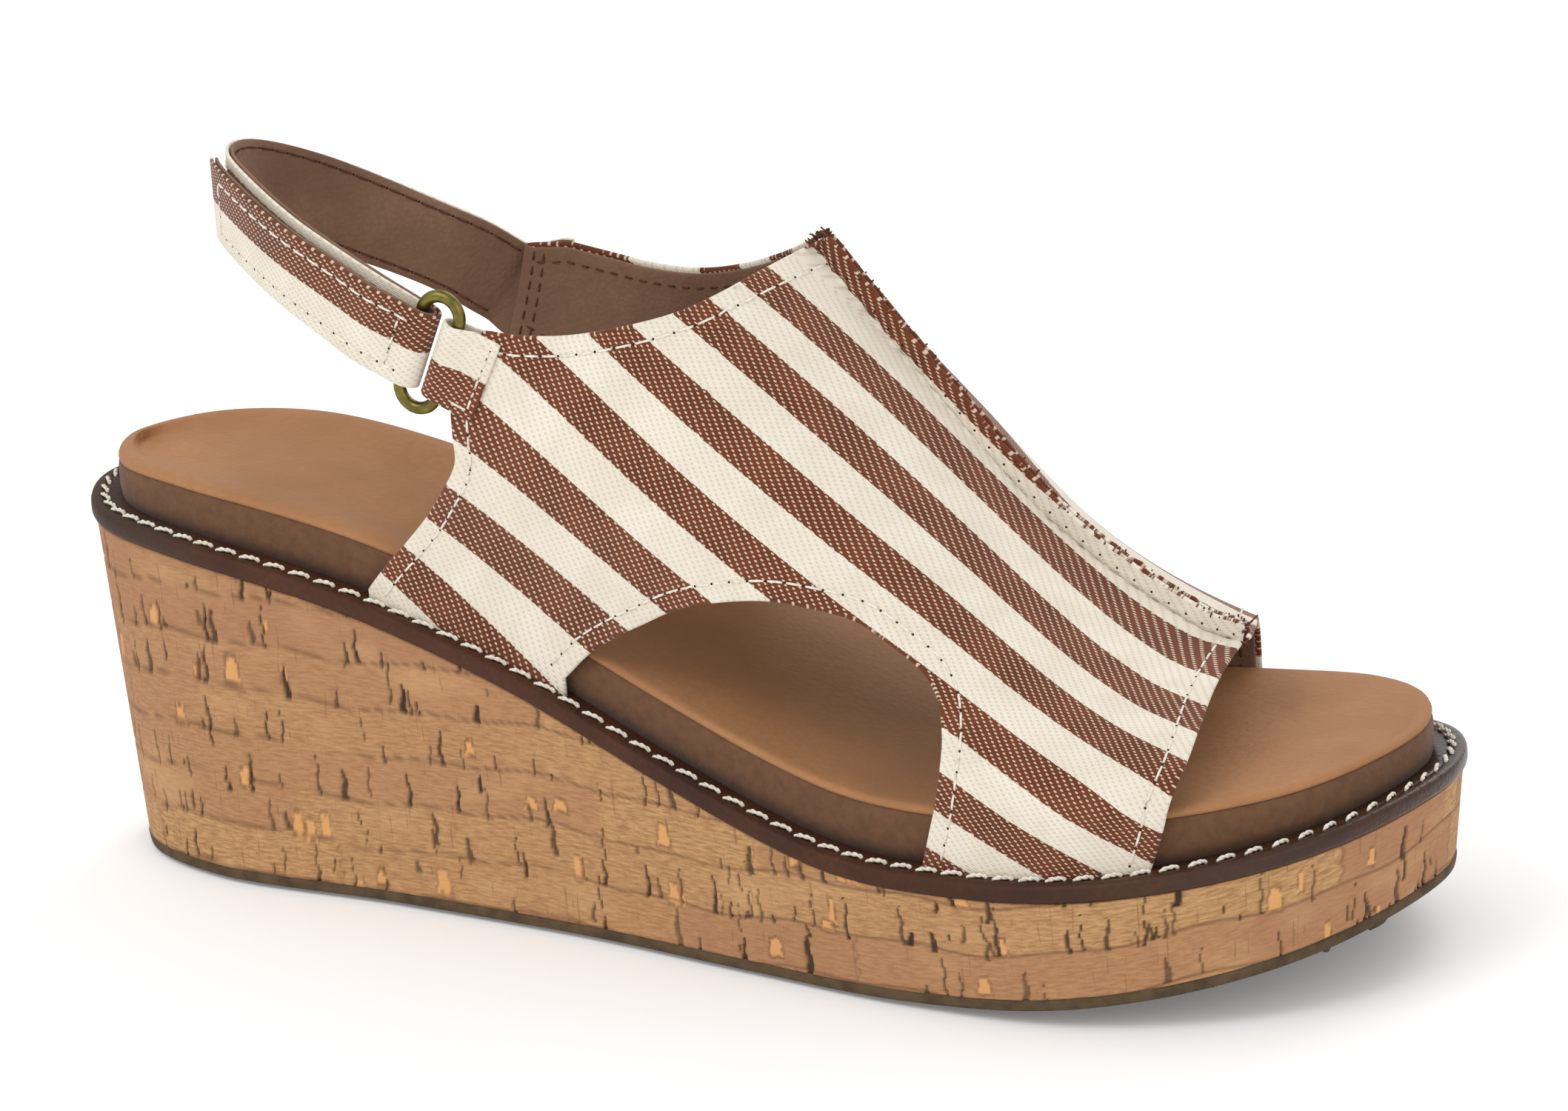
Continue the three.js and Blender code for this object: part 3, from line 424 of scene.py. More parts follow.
def tubes(paths, radius, sides=6):
    """Closed tubes along many short paths, as one list of points and one of faces."""
    all_points, all_faces, start = [], [], 0
    for path in paths:
        n = len(path)
        tangent = unit(np.gradient(path, axis=0))
        helper = np.where(np.abs(tangent[:, 2:]) > .9, [[1., 0, 0]], [[0, 0, 1.]])
        a = unit(np.cross(tangent, helper))
        b = np.cross(tangent, a)
        angle = 2 * np.pi * np.arange(sides) / sides
        ring = (path[:, None] + radius
                * (a[:, None] * np.cos(angle)[None, :, None] + b[:, None] * np.sin(angle)[None, :, None]))
        all_points.append(ring.reshape(-1, 3))
        all_faces += grid_faces(n, sides, True, start).tolist()
        all_faces.append([start + k for k in range(sides)][::-1])
        all_faces.append([start + (n - 1) * sides + k for k in range(sides)])
        start += n * sides
    return np.vstack(all_points), all_faces


def resample(path, step):
    """The path again with about one point per step."""
    path = np.asarray(path, float)
    run = run_along(path)
    count = max(int(round(run[-1] / step)), 1)
    return at_run(np.linspace(0, run[-1], count + 1), run, path)


def dash(surface, at):
    """One stitch over five places of a surface: its ends dip in and its middle stands proud."""
    p, n = surface(at)
    return p + n * (0.12 * np.array([-.6, .75, 1, .75, -.6]))[:, None]


def needle_hole_shade(surface, at):
    p, n = surface(at[None])
    return p[0] + n[0] * 0.015, n[0]


def stitch_row(surface, path, length=2.5, gap=0.75):
    """Dashes of thread along a path on a surface, and the needle holes between them."""
    path = resample(path, 0.25)
    run = run_along(path)
    count = int(run[-1] / (length + gap))
    pitch = run[-1] / max(count, 1)
    dashes = [dash(surface, at_run(k * pitch + gap / 2 + np.linspace(0, pitch - gap, 5), run, path))
              for k in range(count)]
    return dashes, [needle_hole_shade(surface, at_run(k * pitch, run, path)) for k in range(count)]


def dots_mesh(holes, radius):
    """A small dark seven-sided dot at each needle hole, painted shade for the hole's hollow."""
    points, faces, start = [], [], 0
    for p, n in holes:
        a = unit(np.cross(n, [0.3, 0.2, 1]))
        b = np.cross(n, a)
        angle = 2 * np.pi * np.arange(7) / 7
        ring = p + radius * (np.cos(angle)[:, None] * a + np.sin(angle)[:, None] * b)
        points += [ring, (p + n * 0.02)[None], (p - n * 0.12)[None]]
        for k in range(7):
            following = (k + 1) % 7
            faces.append([start + k, start + following, start + 7])
            faces.append([start + following, start + k, start + 8])
        start += 9
    return np.vstack(points), faces


# ---------------------------------------------------------------- materials

def srgb(r, g, b):
    return tuple(((c / 255 + 0.055) / 1.055) ** 2.4 for c in (r, g, b)) + (1,)


class Shader:
    """A principled material and short names for the nodes that feed it."""

    def __init__(self, name, color, roughness, metallic=0.0, sheen=0.0):
        self.material = bpy.data.materials.new(name)
        self.material.use_nodes = True
        self.tree = self.material.node_tree
        self.shader = self.tree.nodes["Principled BSDF"]
        self.set(self.shader.inputs["Base Color"], color)
        self.set(self.shader.inputs["Roughness"], roughness)
        self.set(self.shader.inputs["Metallic"], metallic)
        self.set(self.shader.inputs["Sheen Weight"], sheen)
        self.set(self.shader.inputs["Specular IOR Level"], 0.25 if roughness > 0.6 else 0.5)

    def set(self, socket, value):
        if isinstance(value, bpy.types.NodeSocket):
            self.tree.links.new(value, socket)
        else:
            socket.default_value = value

    def give(self, **values):
        for name, value in values.items():
            self.set(self.shader.inputs[name.replace("_", " ")], value)

    def node(self, kind, values, output=0, **settings):
        """An output of a new node; its inputs' values go by order or by name."""
        node = self.tree.nodes.new("ShaderNode" + kind)
        for name, setting in settings.items():
            setattr(node, name, setting)
        for key, value in values.items() if isinstance(values, dict) else enumerate(values):
            self.set(node.inputs[key], value)
        return node.outputs[output]

    def math(self, operation, *values):
        return self.node("Math", values, operation=operation)

    def plus(self, a, b):
        return self.math("ADD", a, b)

    def minus(self, a, b):
        return self.math("SUBTRACT", a, b)

    def times(self, a, b):
        return self.math("MULTIPLY", a, b)

    def step(self, *values):
        """value, low, high and what they give: 0 and 1 unless said."""
        return self.node("MapRange", values + (0.0, 1.0)[len(values) - 3:], interpolation_type="SMOOTHSTEP")

    def mix(self, share, a, b):
        return self.node("Mix", {0: share, 6: a, 7: b}, 2, data_type="RGBA")

    def attribute(self, name):
        return self.split(self.node("Attribute", (), "Vector", attribute_name=name))

    def split(self, vector):
        return self.node("SeparateXYZ", (vector,), slice(None))

    def join(self, *values):
        return self.node("CombineXYZ", values)

    def place(self):
        return self.node("TexCoord", (), "Object")

    def noise(self, vector, scale, detail=2.0, roughness=0.5):
        values = {"Vector": vector, "Scale": scale, "Detail": detail, "Roughness": roughness}
        return self.node("TexNoise", values)

    def bump(self, height, distance, strength=1.0):
        bumped = self.node("Bump", {"Height": height, "Distance": distance, "Strength": strength})
        self.set(self.shader.inputs["Normal"], bumped)


def fabric():
    """Brown and cream stripes woven with small contrasting dots."""
    s = Shader("striped_fabric", srgb(120, 68, 44), 0.92, sheen=0.15)
    number, across, along = s.attribute("cloth")
    fuzz = s.noise(s.join(s.times(along, 1.6), s.times(across, 3.0), 0.0), 1.0, 3.0, 0.7)
    edge = s.plus(number, s.times(s.minus(fuzz, 0.5), 0.09))
    phase = s.times(s.math("FRACT", s.times(s.plus(edge, 40.0), 0.5)), 2.0)
    brown = s.times(s.step(phase, -0.008, 0.012), s.step(phase, 0.992, 1.008, 1.0, 0.0))
    u, w = s.math("DIVIDE", along, 0.74), s.math("DIVIDE", across, 0.38)
    cell = s.minus(s.math("FLOOR", u), s.math("FLOOR", w))
    third = s.math("LESS_THAN", s.math("FLOORED_MODULO", cell, 3.0), 0.5)
    du, dw = (s.minus(s.math("FRACT", c), 0.5) for c in (u, w))
    reach = s.plus(s.times(du, du), s.times(dw, dw))
    dot = s.times(third, s.step(reach, 0.10, 0.24, 1.0, 0.0))
    worn = s.noise(s.join(along, across, 0.0), 0.12, 3.0)
    earth = s.mix(s.step(worn, 0.3, 0.7), srgb(96, 48, 26), srgb(112, 58, 33))
    on_brown = s.mix(s.times(dot, 0.8), earth, srgb(222, 200, 176))
    milk = s.mix(s.step(worn, 0.3, 0.7), srgb(222, 212, 194), srgb(230, 222, 206))
    on_cream = s.mix(s.times(dot, 0.42), milk, srgb(190, 174, 150))
    s.give(Base_Color=s.mix(brown, on_cream, on_brown))
    rib = s.minus(0.25, s.times(dw, dw))
    s.bump(s.plus(rib, s.times(dot, 0.25)), 0.00022, 0.8)
    return s.material


def cork():
    """Pressed cork in glued bands, with dark cracks and pale patches from the mesh."""
    s = Shader("cork", srgb(190, 146, 104), 0.72)
    run, height, band = s.attribute("cork_place")
    mark, patch, rim_line = s.attribute("cork_mark")
    grain = s.noise(s.join(s.times(run, 0.35), s.times(height, 1.9), 0.0), 1.0, 5.0, 0.65)
    speck = s.noise(s.join(run, s.times(height, 2.2), 3.0), 1.5, 4.0, 0.7)
    cloud = s.noise(s.join(s.times(run, 0.045), s.times(height, 0.10), 7.0), 1.0, 3.0)
    base = s.mix(s.step(grain, 0.3, 0.7), srgb(158, 114, 74), srgb(200, 158, 108))
    base = s.mix(s.times(band, 0.75), base, srgb(162, 114, 84))
    base = s.mix(s.times(s.step(cloud, 0.5, 0.75), 0.45), base, srgb(204, 162, 116))
    base = s.mix(s.times(s.step(speck, 0.58, 0.72), 0.5), base, srgb(140, 96, 64))
    thin = s.noise(s.join(s.times(run, 1.3), s.times(height, 0.10), 11.0), 1.0, 2.0)
    base = s.mix(s.times(s.step(thin, 0.64, 0.72), 0.55), base, srgb(136, 92, 62))
    base = s.mix(s.times(patch, 0.85), base, srgb(220, 162, 102))
    base = s.mix(s.times(rim_line, 0.7), base, srgb(96, 62, 40))
    base = s.mix(mark, base, srgb(58, 42, 30))
    s.give(Base_Color=base)
    s.bump(s.plus(grain, speck), 0.00025, 0.6)
    return s.material


def leather(name, color, dark, roughness, scale=900.0, gloss_at_toe=False):
    s = Shader(name, color, roughness)
    place = s.place()
    cells = s.node("TexVoronoi", {"Vector": place, "Scale": scale})
    cloud = s.noise(place, 38.0, 4.0, 0.6)
    tone = s.mix(s.step(cloud, 0.35, 0.68), color, dark)
    tone = s.mix(s.times(s.step(cells, 0.35, 0.7), 0.35), tone, dark)
    if gloss_at_toe:
        x = s.split(place)[0]
        ends = s.math("MAXIMUM", s.step(x, 0.075, 0.115), s.step(x, -0.105, -0.085, 1.0, 0.0))
        tone = s.mix(s.times(ends, 0.5), tone, srgb(58, 46, 36))
        s.give(Roughness=s.step(x, 0.06, 0.12, roughness, 0.3))
    s.give(Base_Color=tone)
    s.bump(s.minus(s.noise(place, scale * 1.4, 3.0), cells), 0.00015, 0.6)
    return s.material


def plain(name, color, roughness, dark=None, scale=300.0, metallic=0.0, depth=0.0001, sheen=0.0):
    s = Shader(name, color, roughness, metallic, sheen)
    if dark:
        s.give(Base_Color=s.mix(s.step(s.noise(s.place(), scale, 4.0, 0.6), 0.35, 0.68), color, dark))
    s.bump(s.noise(s.place(), scale * 3, 3.0), depth, 0.6)
    return s.material


FABRIC = fabric()
CORK_SKIN = cork()
WELT_LEATHER = leather("welt_leather", srgb(80, 44, 25), srgb(56, 31, 18), 0.64, gloss_at_toe=True)
FOOTBED_LEATHER = leather("footbed_leather", srgb(168, 120, 80), srgb(156, 110, 72), 0.66, 700.0)
SUEDE = plain("footbed_suede", srgb(108, 76, 54), 0.95, srgb(98, 68, 48), 500.0, depth=0.0002, sheen=0.1)
LINING_LEATHER = leather("lining_leather", srgb(132, 101, 80), srgb(112, 84, 66), 0.75, 1100.0)
THREAD = plain("stitching", srgb(240, 234, 222), 0.8, srgb(214, 204, 186), 1500.0)
# Painted shade: the needle-hole dots' dark colour stands for the shade inside the holes.
HOLE_SHADE = plain("needle_hole_shade", srgb(52, 36, 27), 1.0)
YARN = plain("brown_yarn", srgb(104, 62, 42), 0.95, srgb(70, 42, 30), 900.0)
RUBBER = plain("outsole_rubber", srgb(90, 73, 52), 0.75, srgb(70, 56, 40), 250.0)
BRASS = plain("antique_brass", srgb(132, 122, 62), 0.36, srgb(96, 86, 48), 260.0, metallic=1.0, depth=0.00004)
PILE = plain("hook_and_loop", srgb(112, 90, 70), 0.95, srgb(84, 66, 50), 1200.0, depth=0.0004)
FOAM = plain("wedge_foam", srgb(186, 166, 142), 0.9, srgb(168, 148, 124), 400.0)
BED_FOAM = plain("bed_foam", srgb(196, 180, 158), 0.9, srgb(180, 162, 140), 400.0)
BOARD = plain("fibre_board", srgb(156, 138, 112), 0.9, srgb(138, 120, 96), 500.0)

for node, material in (("wedge_core", FOAM), ("insole_board", BOARD)):
    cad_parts[node].data.materials.clear()
    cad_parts[node].data.materials.append(material)

# ---------------------------------------------------------------- the sole

def loops(section, n):
    """Loops of the outline, each [inset, height], as rows of points."""
    rows = []
    for inset, height in section:
        flat, _ = loop(inset, n)
        rows.append(np.c_[flat, height(flat[:, 0]) if callable(height) else np.full(n, float(height))])
    return rows


def over(height, rise):
    """The height function raised."""
    return lambda *place: height(*place) + rise


def ring_band(section, n):
    """A closed band along the outline, from the loops of its cross-section."""
    return np.vstack(loops(section, n)), closed_faces(len(section), n)


def filled(section, n, cols, shape=lambda x, u, z: z):
    """A plate: loops up the wall, then a surface across with the height shape(x, share across, edge height)."""
    rows = loops(section, n)
    top_loop, half = rows[-1], n // 2
    first, last = len(rows) * n, (len(rows) - 1) * n
    u = np.linspace(0, 1, cols + 2)[1:-1]
    a, b = top_loop[1:half], top_loop[n - 1:half:-1]
    inner = a[:, None] * (1 - u)[None, :, None] + b[:, None] * u[None, :, None]
    inner[..., 2] = shape(inner[..., 0], u[None, :], inner[..., 2])
    index = first + np.arange((half - 1) * cols).reshape(half - 1, cols)
    near, far = last + np.arange(1, half), last + np.arange(n - 1, half, -1)
    full = np.concatenate([near[:, None], index, far[:, None]], 1)
    quads = np.stack([full[:-1, :-1], full[1:, :-1], full[1:, 1:], full[:-1, 1:]], -1)
    faces = grid_faces(len(rows), n, True).tolist() + [list(range(n))[::-1]] + quads.reshape(-1, 4).tolist()
    for end, row in ((last, full[0]), (last + half, full[-1])):
        faces += [[end, row[k], row[k + 1]] for k in range(cols + 1)]
    return np.vstack(rows + [inner.reshape(-1, 3)]), faces


# Outsole: a plain wall with a rounded foot, and wavy bars moulded under it.
OUTSOLE_EDGE = [(1.4, 0.9), (0.6, 0.7), (0.15, 0.9), (0, 1.5), (-0.1, 2.2), (0.1, 2.9)]
points, faces = filled([(over(cork_ground, inset), over(ground, z)) for inset, z in OUTSOLE_EDGE], 720, 12)
outsole = piece("outsole_sole", points, faces, BASE, "outsole_rubber", RUBBER)
face_outwards(outsole)
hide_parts("outsole")

TREAD_PITCH, TREAD_MARGIN, TREAD_WAVE, TREAD_RADIUS = 5.2, 1.5, 1.3, 0.8
tread_edge, _ = loop(over(cork_ground, 2.2), 720)
paths = []
for x in np.arange(-122, 127, TREAD_PITCH):
    near = tread_edge[np.abs(tread_edge[:, 0] - x) < TREAD_MARGIN]
    if len(near) > 1:
        y = np.linspace(near[:, 1].min() + TREAD_MARGIN, near[:, 1].max() - TREAD_MARGIN, 24)
        wave = x + TREAD_WAVE * np.sin(y / 6.5 * math.pi)
        paths.append(np.c_[wave, y, ground(wave) + TREAD_RADIUS + 0.02])
points, faces = tubes(paths, TREAD_RADIUS)
piece("outsole_tread", points, faces, BASE, "outsole_rubber", RUBBER)

# Cork: a fine grid round the wall, marked with bands, cracks and patches.
CORK_N, CORK_ROWS, BAND, CRACKS, PATCHES = 1500, 64, 9.0, 760, 120
flat_top, run = loop(CORK_INSET, CORK_N)
flat_low, _ = loop(cork_ground, CORK_N)
share = np.linspace(0, 1, CORK_ROWS)[:, None]
bottom_z, top_z = ground(flat_low[:, 0]) + OUTSOLE + 0.1, welt_top(flat_top[:, 0]) - WELT - 0.1
wall = np.empty((CORK_ROWS, CORK_N, 3))
wall[..., :2] = flat_low * (1 - share[..., None]) + flat_top * share[..., None]
wall[..., 2] = bottom_z * (1 - share) + top_z * share
total = run[-1] + run[1]
place_s = np.broadcast_to(run, (CORK_ROWS, CORK_N))
place_h = wall[..., 2] - ground(wall[..., 0]) - OUTSOLE
wobble = 0.7 * np.sin(place_s / total * 2 * np.pi * 9) + 0.4 * np.sin(place_s / total * 2 * np.pi * 23 + 1)
layer = (place_h + wobble) / BAND
mark, patch, line = np.zeros_like(layer), np.zeros_like(layer), np.zeros_like(layer)


def around(s):
    """The distance along the wall from s, the shorter way round."""
    return (place_s - s + total / 2) % total - total / 2


for _ in range(CRACKS):
    s, level = rng.uniform(0, total), rng.integers(0, 7)
    tall, width = rng.uniform(1.4, 8.0), rng.choice([0.22, 0.32, 0.48, 0.75], p=[.3, .3, .25, .15])
    start = level * BAND - rng.uniform(0, 1.0) if rng.random() < 0.75 else rng.uniform(0, 50)
    ds = around(s) + 0.25 * np.sin(place_h * rng.uniform(0.8, 1.6) + s)
    dh = (place_h + wobble - start) / tall
    deep = np.clip(1 - np.abs(ds) / (width * (1.15 - np.clip(dh, 0, 1) ** 2 * 0.8)), 0, 1)
    mark = np.maximum(mark, smooth(deep, 0, 0.4) * (dh > 0) * (dh < 1) * rng.uniform(0.6, 1))
for _ in range(PATCHES):
    s, h = rng.uniform(0, total), rng.integers(0, 7) * BAND + rng.uniform(0.5, 4)
    wide, tall = rng.uniform(0.5, 1.5), rng.uniform(1.0, 2.6)
    ds, dh = around(s), place_h + wobble - h
    far = np.maximum(np.abs(ds / wide) + 0.25 * dh / tall, np.abs(dh / tall))
    far += 0.14 * np.sin(ds * 3.1 + s) * np.sin(dh * 2.3)
    patch = np.maximum(patch, 1 - smooth(far, 0.8, 0.95))
    line = np.maximum(line, smooth(far, 0.8, 0.98) * (1 - smooth(far, 1.02, 1.3)) * rng.uniform(0.4, 1))
band = np.zeros_like(layer)
for n in range(-1, 9):
    cuts = np.sort(rng.uniform(0, total, 16))
    tones = rng.uniform(0, 1, 17)
    slant = 0.5 * np.sin(place_h * 2 + n)
    band = np.where(np.floor(layer) == n, tones[np.searchsorted(cuts, place_s + slant)], band)
    for c in cuts[rng.random(16) < 0.5]:
        joint = 1 - smooth(np.abs(around(c) + slant), 0.1, 0.5)
        line = np.maximum(line, (np.floor(layer) == n) * joint * 0.5)
line = np.maximum(line, 0.75 * (1 - smooth(np.abs((layer + 0.5) % 1 - 0.5) * BAND, 0.1, 0.45)))
inward = np.zeros_like(wall)
along = np.roll(flat_top, -1, 0) - np.roll(flat_top, 1, 0)
inward[..., 0], inward[..., 1] = -along[:, 1], along[:, 0]
inward = unit(inward)
wall += inward * (0.42 * mark + 0.12 * line)[..., None]
back_loops = [wall[-1] + inward[-1] * CORK, wall[0] + inward[0] * CORK]
points = np.vstack([wall.reshape(-1, 3)] + back_loops)
unmarked = np.zeros((2 * CORK_N, 3))
cork_skin = piece("cork_skin", points, closed_faces(CORK_ROWS + 2, CORK_N), BASE, "cork", CORK_SKIN, {
    "cork_place": np.vstack([np.stack([place_s, place_h, band], -1).reshape(-1, 3), unmarked]),
    "cork_mark": np.vstack([np.stack([mark, patch, line], -1).reshape(-1, 3), unmarked])})
face_outwards(cork_skin)
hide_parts("cork_wrap")

# Welt: a rounded leather strip with a groove for its stitches.
STITCH_INSET = 2.7
WELT_SECTION = [(WELT_INNER, -WELT), (3, -WELT), (0.8, -3.35), (0.25, -3.05), (0.02, -2.5), (0, -1.7),
                (0.03, -1.0), (0.25, -0.42), (0.8, -0.06), (1.6, 0.05), (2.2, -0.02), (2.5, -0.2),
                (STITCH_INSET, -0.26), (2.9, -0.2), (3.2, -0.02), (4, 0.04), (6, 0), (WELT_INNER, 0)]
points, faces = ring_band([(inset, over(welt_top, z)) for inset, z in WELT_SECTION], 900)
welt = piece("welt_rand", points, faces, BASE, "welt_leather", WELT_LEATHER)
face_outwards(welt)
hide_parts("welt")

# Its stitches: two plies twisted round each other, slanting a little across the groove.
STITCH_PITCH, STITCH_SHARE, PLY_TWIST, PLY_OFFSET = 5.0, 0.72, 5.0, 0.18
stitch_line, stitch_run = loop(STITCH_INSET, 4200)
length = stitch_run[-1] + stitch_run[1]
count = int(round(length / STITCH_PITCH))
paths, holes = [], []
w = np.linspace(-1, 1, 15)
lift = 0.42 * (1 - w ** 4) - 0.5 * w ** 8
for k in range(count):
    s = (k + 0.14 + np.linspace(0, STITCH_SHARE, 15)) * length / count
    at = at_run(s, stitch_run, stitch_line)
    tangent = unit(np.gradient(at, axis=0))
    side = np.c_[-tangent[:, 1], tangent[:, 0]]
    at = at + side * (w * 0.6)[:, None]
    for turn in (w * PLY_TWIST, w * PLY_TWIST + math.pi):
        flat = at + side * (PLY_OFFSET * np.cos(turn))[:, None]
        paths.append(np.c_[flat, welt_top(flat[:, 0]) + lift + PLY_OFFSET * np.sin(turn)])
    holes += [(np.array([*at[e], welt_top(at[e, 0]) - 0.04]), np.array([0, 0, 1.0])) for e in (0, -1)]
points, faces = tubes(paths, 0.25)
welt_stitches = piece("welt_stitches", points, faces, BASE, "stitching", THREAD)
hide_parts("welt_thread")
# Dark dots of painted shade at the stitches' holes in the groove.
points, faces = dots_mesh(holes, 0.36)
piece("welt_stitch_hole_shade", points, faces, BASE, "welt_leather", HOLE_SHADE)

# Footbed: suede side band and a padded leather top.
mid_wall = lambda x: (welt_top(x) + footbed_top(x)) / 2
SIDE_SECTION = [(1.0, welt_top, 0.05), (0.1, welt_top, 0.05), (-0.15, mid_wall, -2), (-0.15, mid_wall, 1),
                (0.05, footbed_top, -1.9), (0.35, footbed_top, -1.55), (1.0, footbed_top, -1.5)]
points, faces = ring_band([(FOOTBED_INSET + d, over(level, z)) for d, level, z in SIDE_SECTION], 720)
footbed_side = piece("footbed_side", points, faces, BASE, "footbed_suede", SUEDE)
face_outwards(footbed_side)
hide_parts("footbed_side_wrap")


def footbed_surface(x, u, z):
    """Dished at the heel and a little at the ball, raised under the arch."""
    middle = np.clip(4 * u * (1 - u), 0, 1)
    cup = 2.1 * (1 - smooth(x, -70, -20)) + 0.5 * smooth(x, 10, 60)
    arch = 0.4 * smooth(middle, 0.1, 0.9) * smooth(x, -40, -10) * (1 - smooth(x, 0, 30))
    return z - cup * smooth(middle, 0.05, 0.9) + arch


COVER_EDGE = [(1.2, -1.55), (0.15, -1.5), (0.0, -1.0), (0.22, -0.5), (0.65, -0.15), (1.3, 0.0), (2.2, 0.02)]
cover_section = [(FOOTBED_INSET + d, over(footbed_top, z)) for d, z in COVER_EDGE]
points, faces = filled(cover_section, 640, 30, footbed_surface)
footbed_cover = piece("footbed_cover", points, faces, BASE, "footbed_leather", FOOTBED_LEATHER)
face_outwards(footbed_cover)
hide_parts("footbed_top_sock")
FILLING_EDGE = [(FOOTBED_INSET + 1.4, over(welt_top, 0.3)), (FOOTBED_INSET + 1.4, over(footbed_top, -1.8))]
points, faces = filled(FILLING_EDGE, 320, 16, over(footbed_surface, -0.4))
footbed_filling = piece("footbed_filling", points, faces, BASE, "footbed_foam", BED_FOAM)
face_outwards(footbed_filling)
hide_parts("footbed_foam")

# ---------------------------------------------------------------- the upper's panels

INSTEP = [16, 78.2]
CUTOUT = [[-20, -7], [-14.4, .5], [-8.2, 7], [-.7, 13.9], [7.8, 21.2], [16.5, 26.5], [25.2, 30.1],
          [32.7, 31.1], [40.4, 30.4], [46.8, 27], [53.1, 22.7], [56.6, 18.6], [58.6, 13], [58.8, 8], [58, 2],
          [56.6, -3], [54.5, -10.4]]
REAR = {LATERAL: [[-35.2, 31], [-35.5, 27], [-37.1, 23.3], [-40.3, 18.2], [-44.5, 11.8], [-50.3, 4.2],
                  [-55.5, -2.3], [-60, -8.6]],
        MEDIAL: [[-53, 24], [-43, 18], [-41.5, 12], [-47, 5], [-54, -1.5], [-60, -8]]}
TOP = {LATERAL: [INSTEP, [13.6, 76.4], [9.1, 72.5], [4.7, 69.1], [-4.1, 63.8], [-13.9, 58.4], [-22.4, 54.7],
                 [-31, 52.9]],
       MEDIAL: [INSTEP, [13.6, 76.4], [5, 68.2], [-2.5, 61.5], [-13.5, 53.3], [-22.5, 48.1], [-32, 44.7],
                [-40, 43.1], [-49, 41.6]]}
FRONT = {LATERAL: [(0, 93.2), (.2, 96.7), (.45, 98), (.65, 96.6), (.85, 93.6), (1, 91.4)],
         MEDIAL: [(0, 81.8), (.2, 80.6), (.45, 81.8), (.65, 84.6), (.85, 88.6), (1, 91.4)]}
SEAM_FRONT = 91.4


def lifted(points):
    """[x, height over the footbed's top] as [x, z]."""
    return np.array([[x, footbed_top(x) + h] for x, h in points])


def on_upper(side, x, z, off):
    """The points at x and z, off the upper's inner face; their level is found by halving."""
    x, z = np.broadcast_arrays(np.asarray(x, float), np.asarray(z, float))
    lower, upper = np.full(x.shape, WALL_SHARE), np.ones(x.shape)
    for _ in range(24):
        middle = (lower + upper) / 2
        below = inner_face(side, x, middle)[..., 2] < z
        lower, upper = np.where(below, middle, lower), np.where(below, upper, middle)
    return inner_face(side, x, lower) + face_normal(side, x, lower) * off


# The ring lies where the outer panel's rear corner ends.
PLY, WIRE, RING_LENGTH, RING_WIDTH, STRAP_WIDTH, FOLD_WIDTH = 0.6, 1.1, 24, 9.6, 15.5, 14
RING_LEAN = math.radians(23.3)
UPPER_THICKNESS = SHELL_OUT
BAR_OFFSET = RING_WIDTH / 2 - WIRE
PLY_INNER = WIRE + GAP - 0.05
STRAP_THICKNESS = 2 * PLY + GAP
PLY_START = BAR_OFFSET + 1.2 + GAP
ring_middle = on_upper(LATERAL, -39.2, footbed_top(-39.2) + 45.2, UPPER_THICKNESS / 2)
bar_axis = np.array([math.sin(RING_LEAN), 0, math.cos(RING_LEAN)])
rearward = np.array([-math.cos(RING_LEAN), 0, math.sin(RING_LEAN)])
outwards = np.array([0.0, LATERAL, 0])


def ring_point(along, rear, out):
    """A point beside the ring's middle: along its bars, to the rear and outwards."""
    along, rear, out = np.broadcast_arrays(*(np.asarray(v, float) for v in (along, rear, out)))
    return ring_middle + along[..., None] * bar_axis + rear[..., None] * rearward + out[..., None] * outwards


STRAP_PATH = [[-66, -29.5, 49.7], [-80, -21.5, 51.5], [-91, -10.5, 51.2], [-95.5, 2, 48.7], [-92, 14.5, 43.6],
              [-82, 24, 37.8], [-69, 29, 33.8]]
LAP_LENGTH, LAP_PIECE, LAP_OFFSET = 9, 14, UPPER_THICKNESS + GAP
end_z = footbed_top(-50) + 33.8
strap_knots = np.array([ring_point(0, PLY_START, -PLY_INNER - STRAP_THICKNESS),
                        ring_point(0, PLY_START + 8, -PLY_INNER - STRAP_THICKNESS),
                        *[[x, y, footbed_top(x) + h] for x, y, h in STRAP_PATH],
                        on_upper(MEDIAL, -50 - LAP_LENGTH, end_z - 1, LAP_OFFSET),
                        on_upper(MEDIAL, -50, end_z, LAP_OFFSET)])
strap_line = spline(strap_knots, False, np.linspace(0, 1, 2001))
strap_run = run_along(strap_line)
strap_length = strap_run[-1]
strap_tangent = unit(np.gradient(strap_line, axis=0))


def strap_point(distance, across, out):
    """A point beside the strap's path: up across its width and out from it."""
    distance, across, out = np.broadcast_arrays(*(np.asarray(v, float) for v in (distance, across, out)))
    d = np.clip(distance, 0, strap_length)
    middle, tangent = at_run(d, strap_run, strap_line), at_run(d, strap_run, strap_tangent)
    normal = unit(np.stack([-tangent[..., 1], tangent[..., 0], np.zeros_like(d)], -1))
    up = unit(np.cross(normal, tangent))
    up = np.where(up[..., 2:] < 0, -up, up)
    return middle + up * across[..., None] + normal * out[..., None]


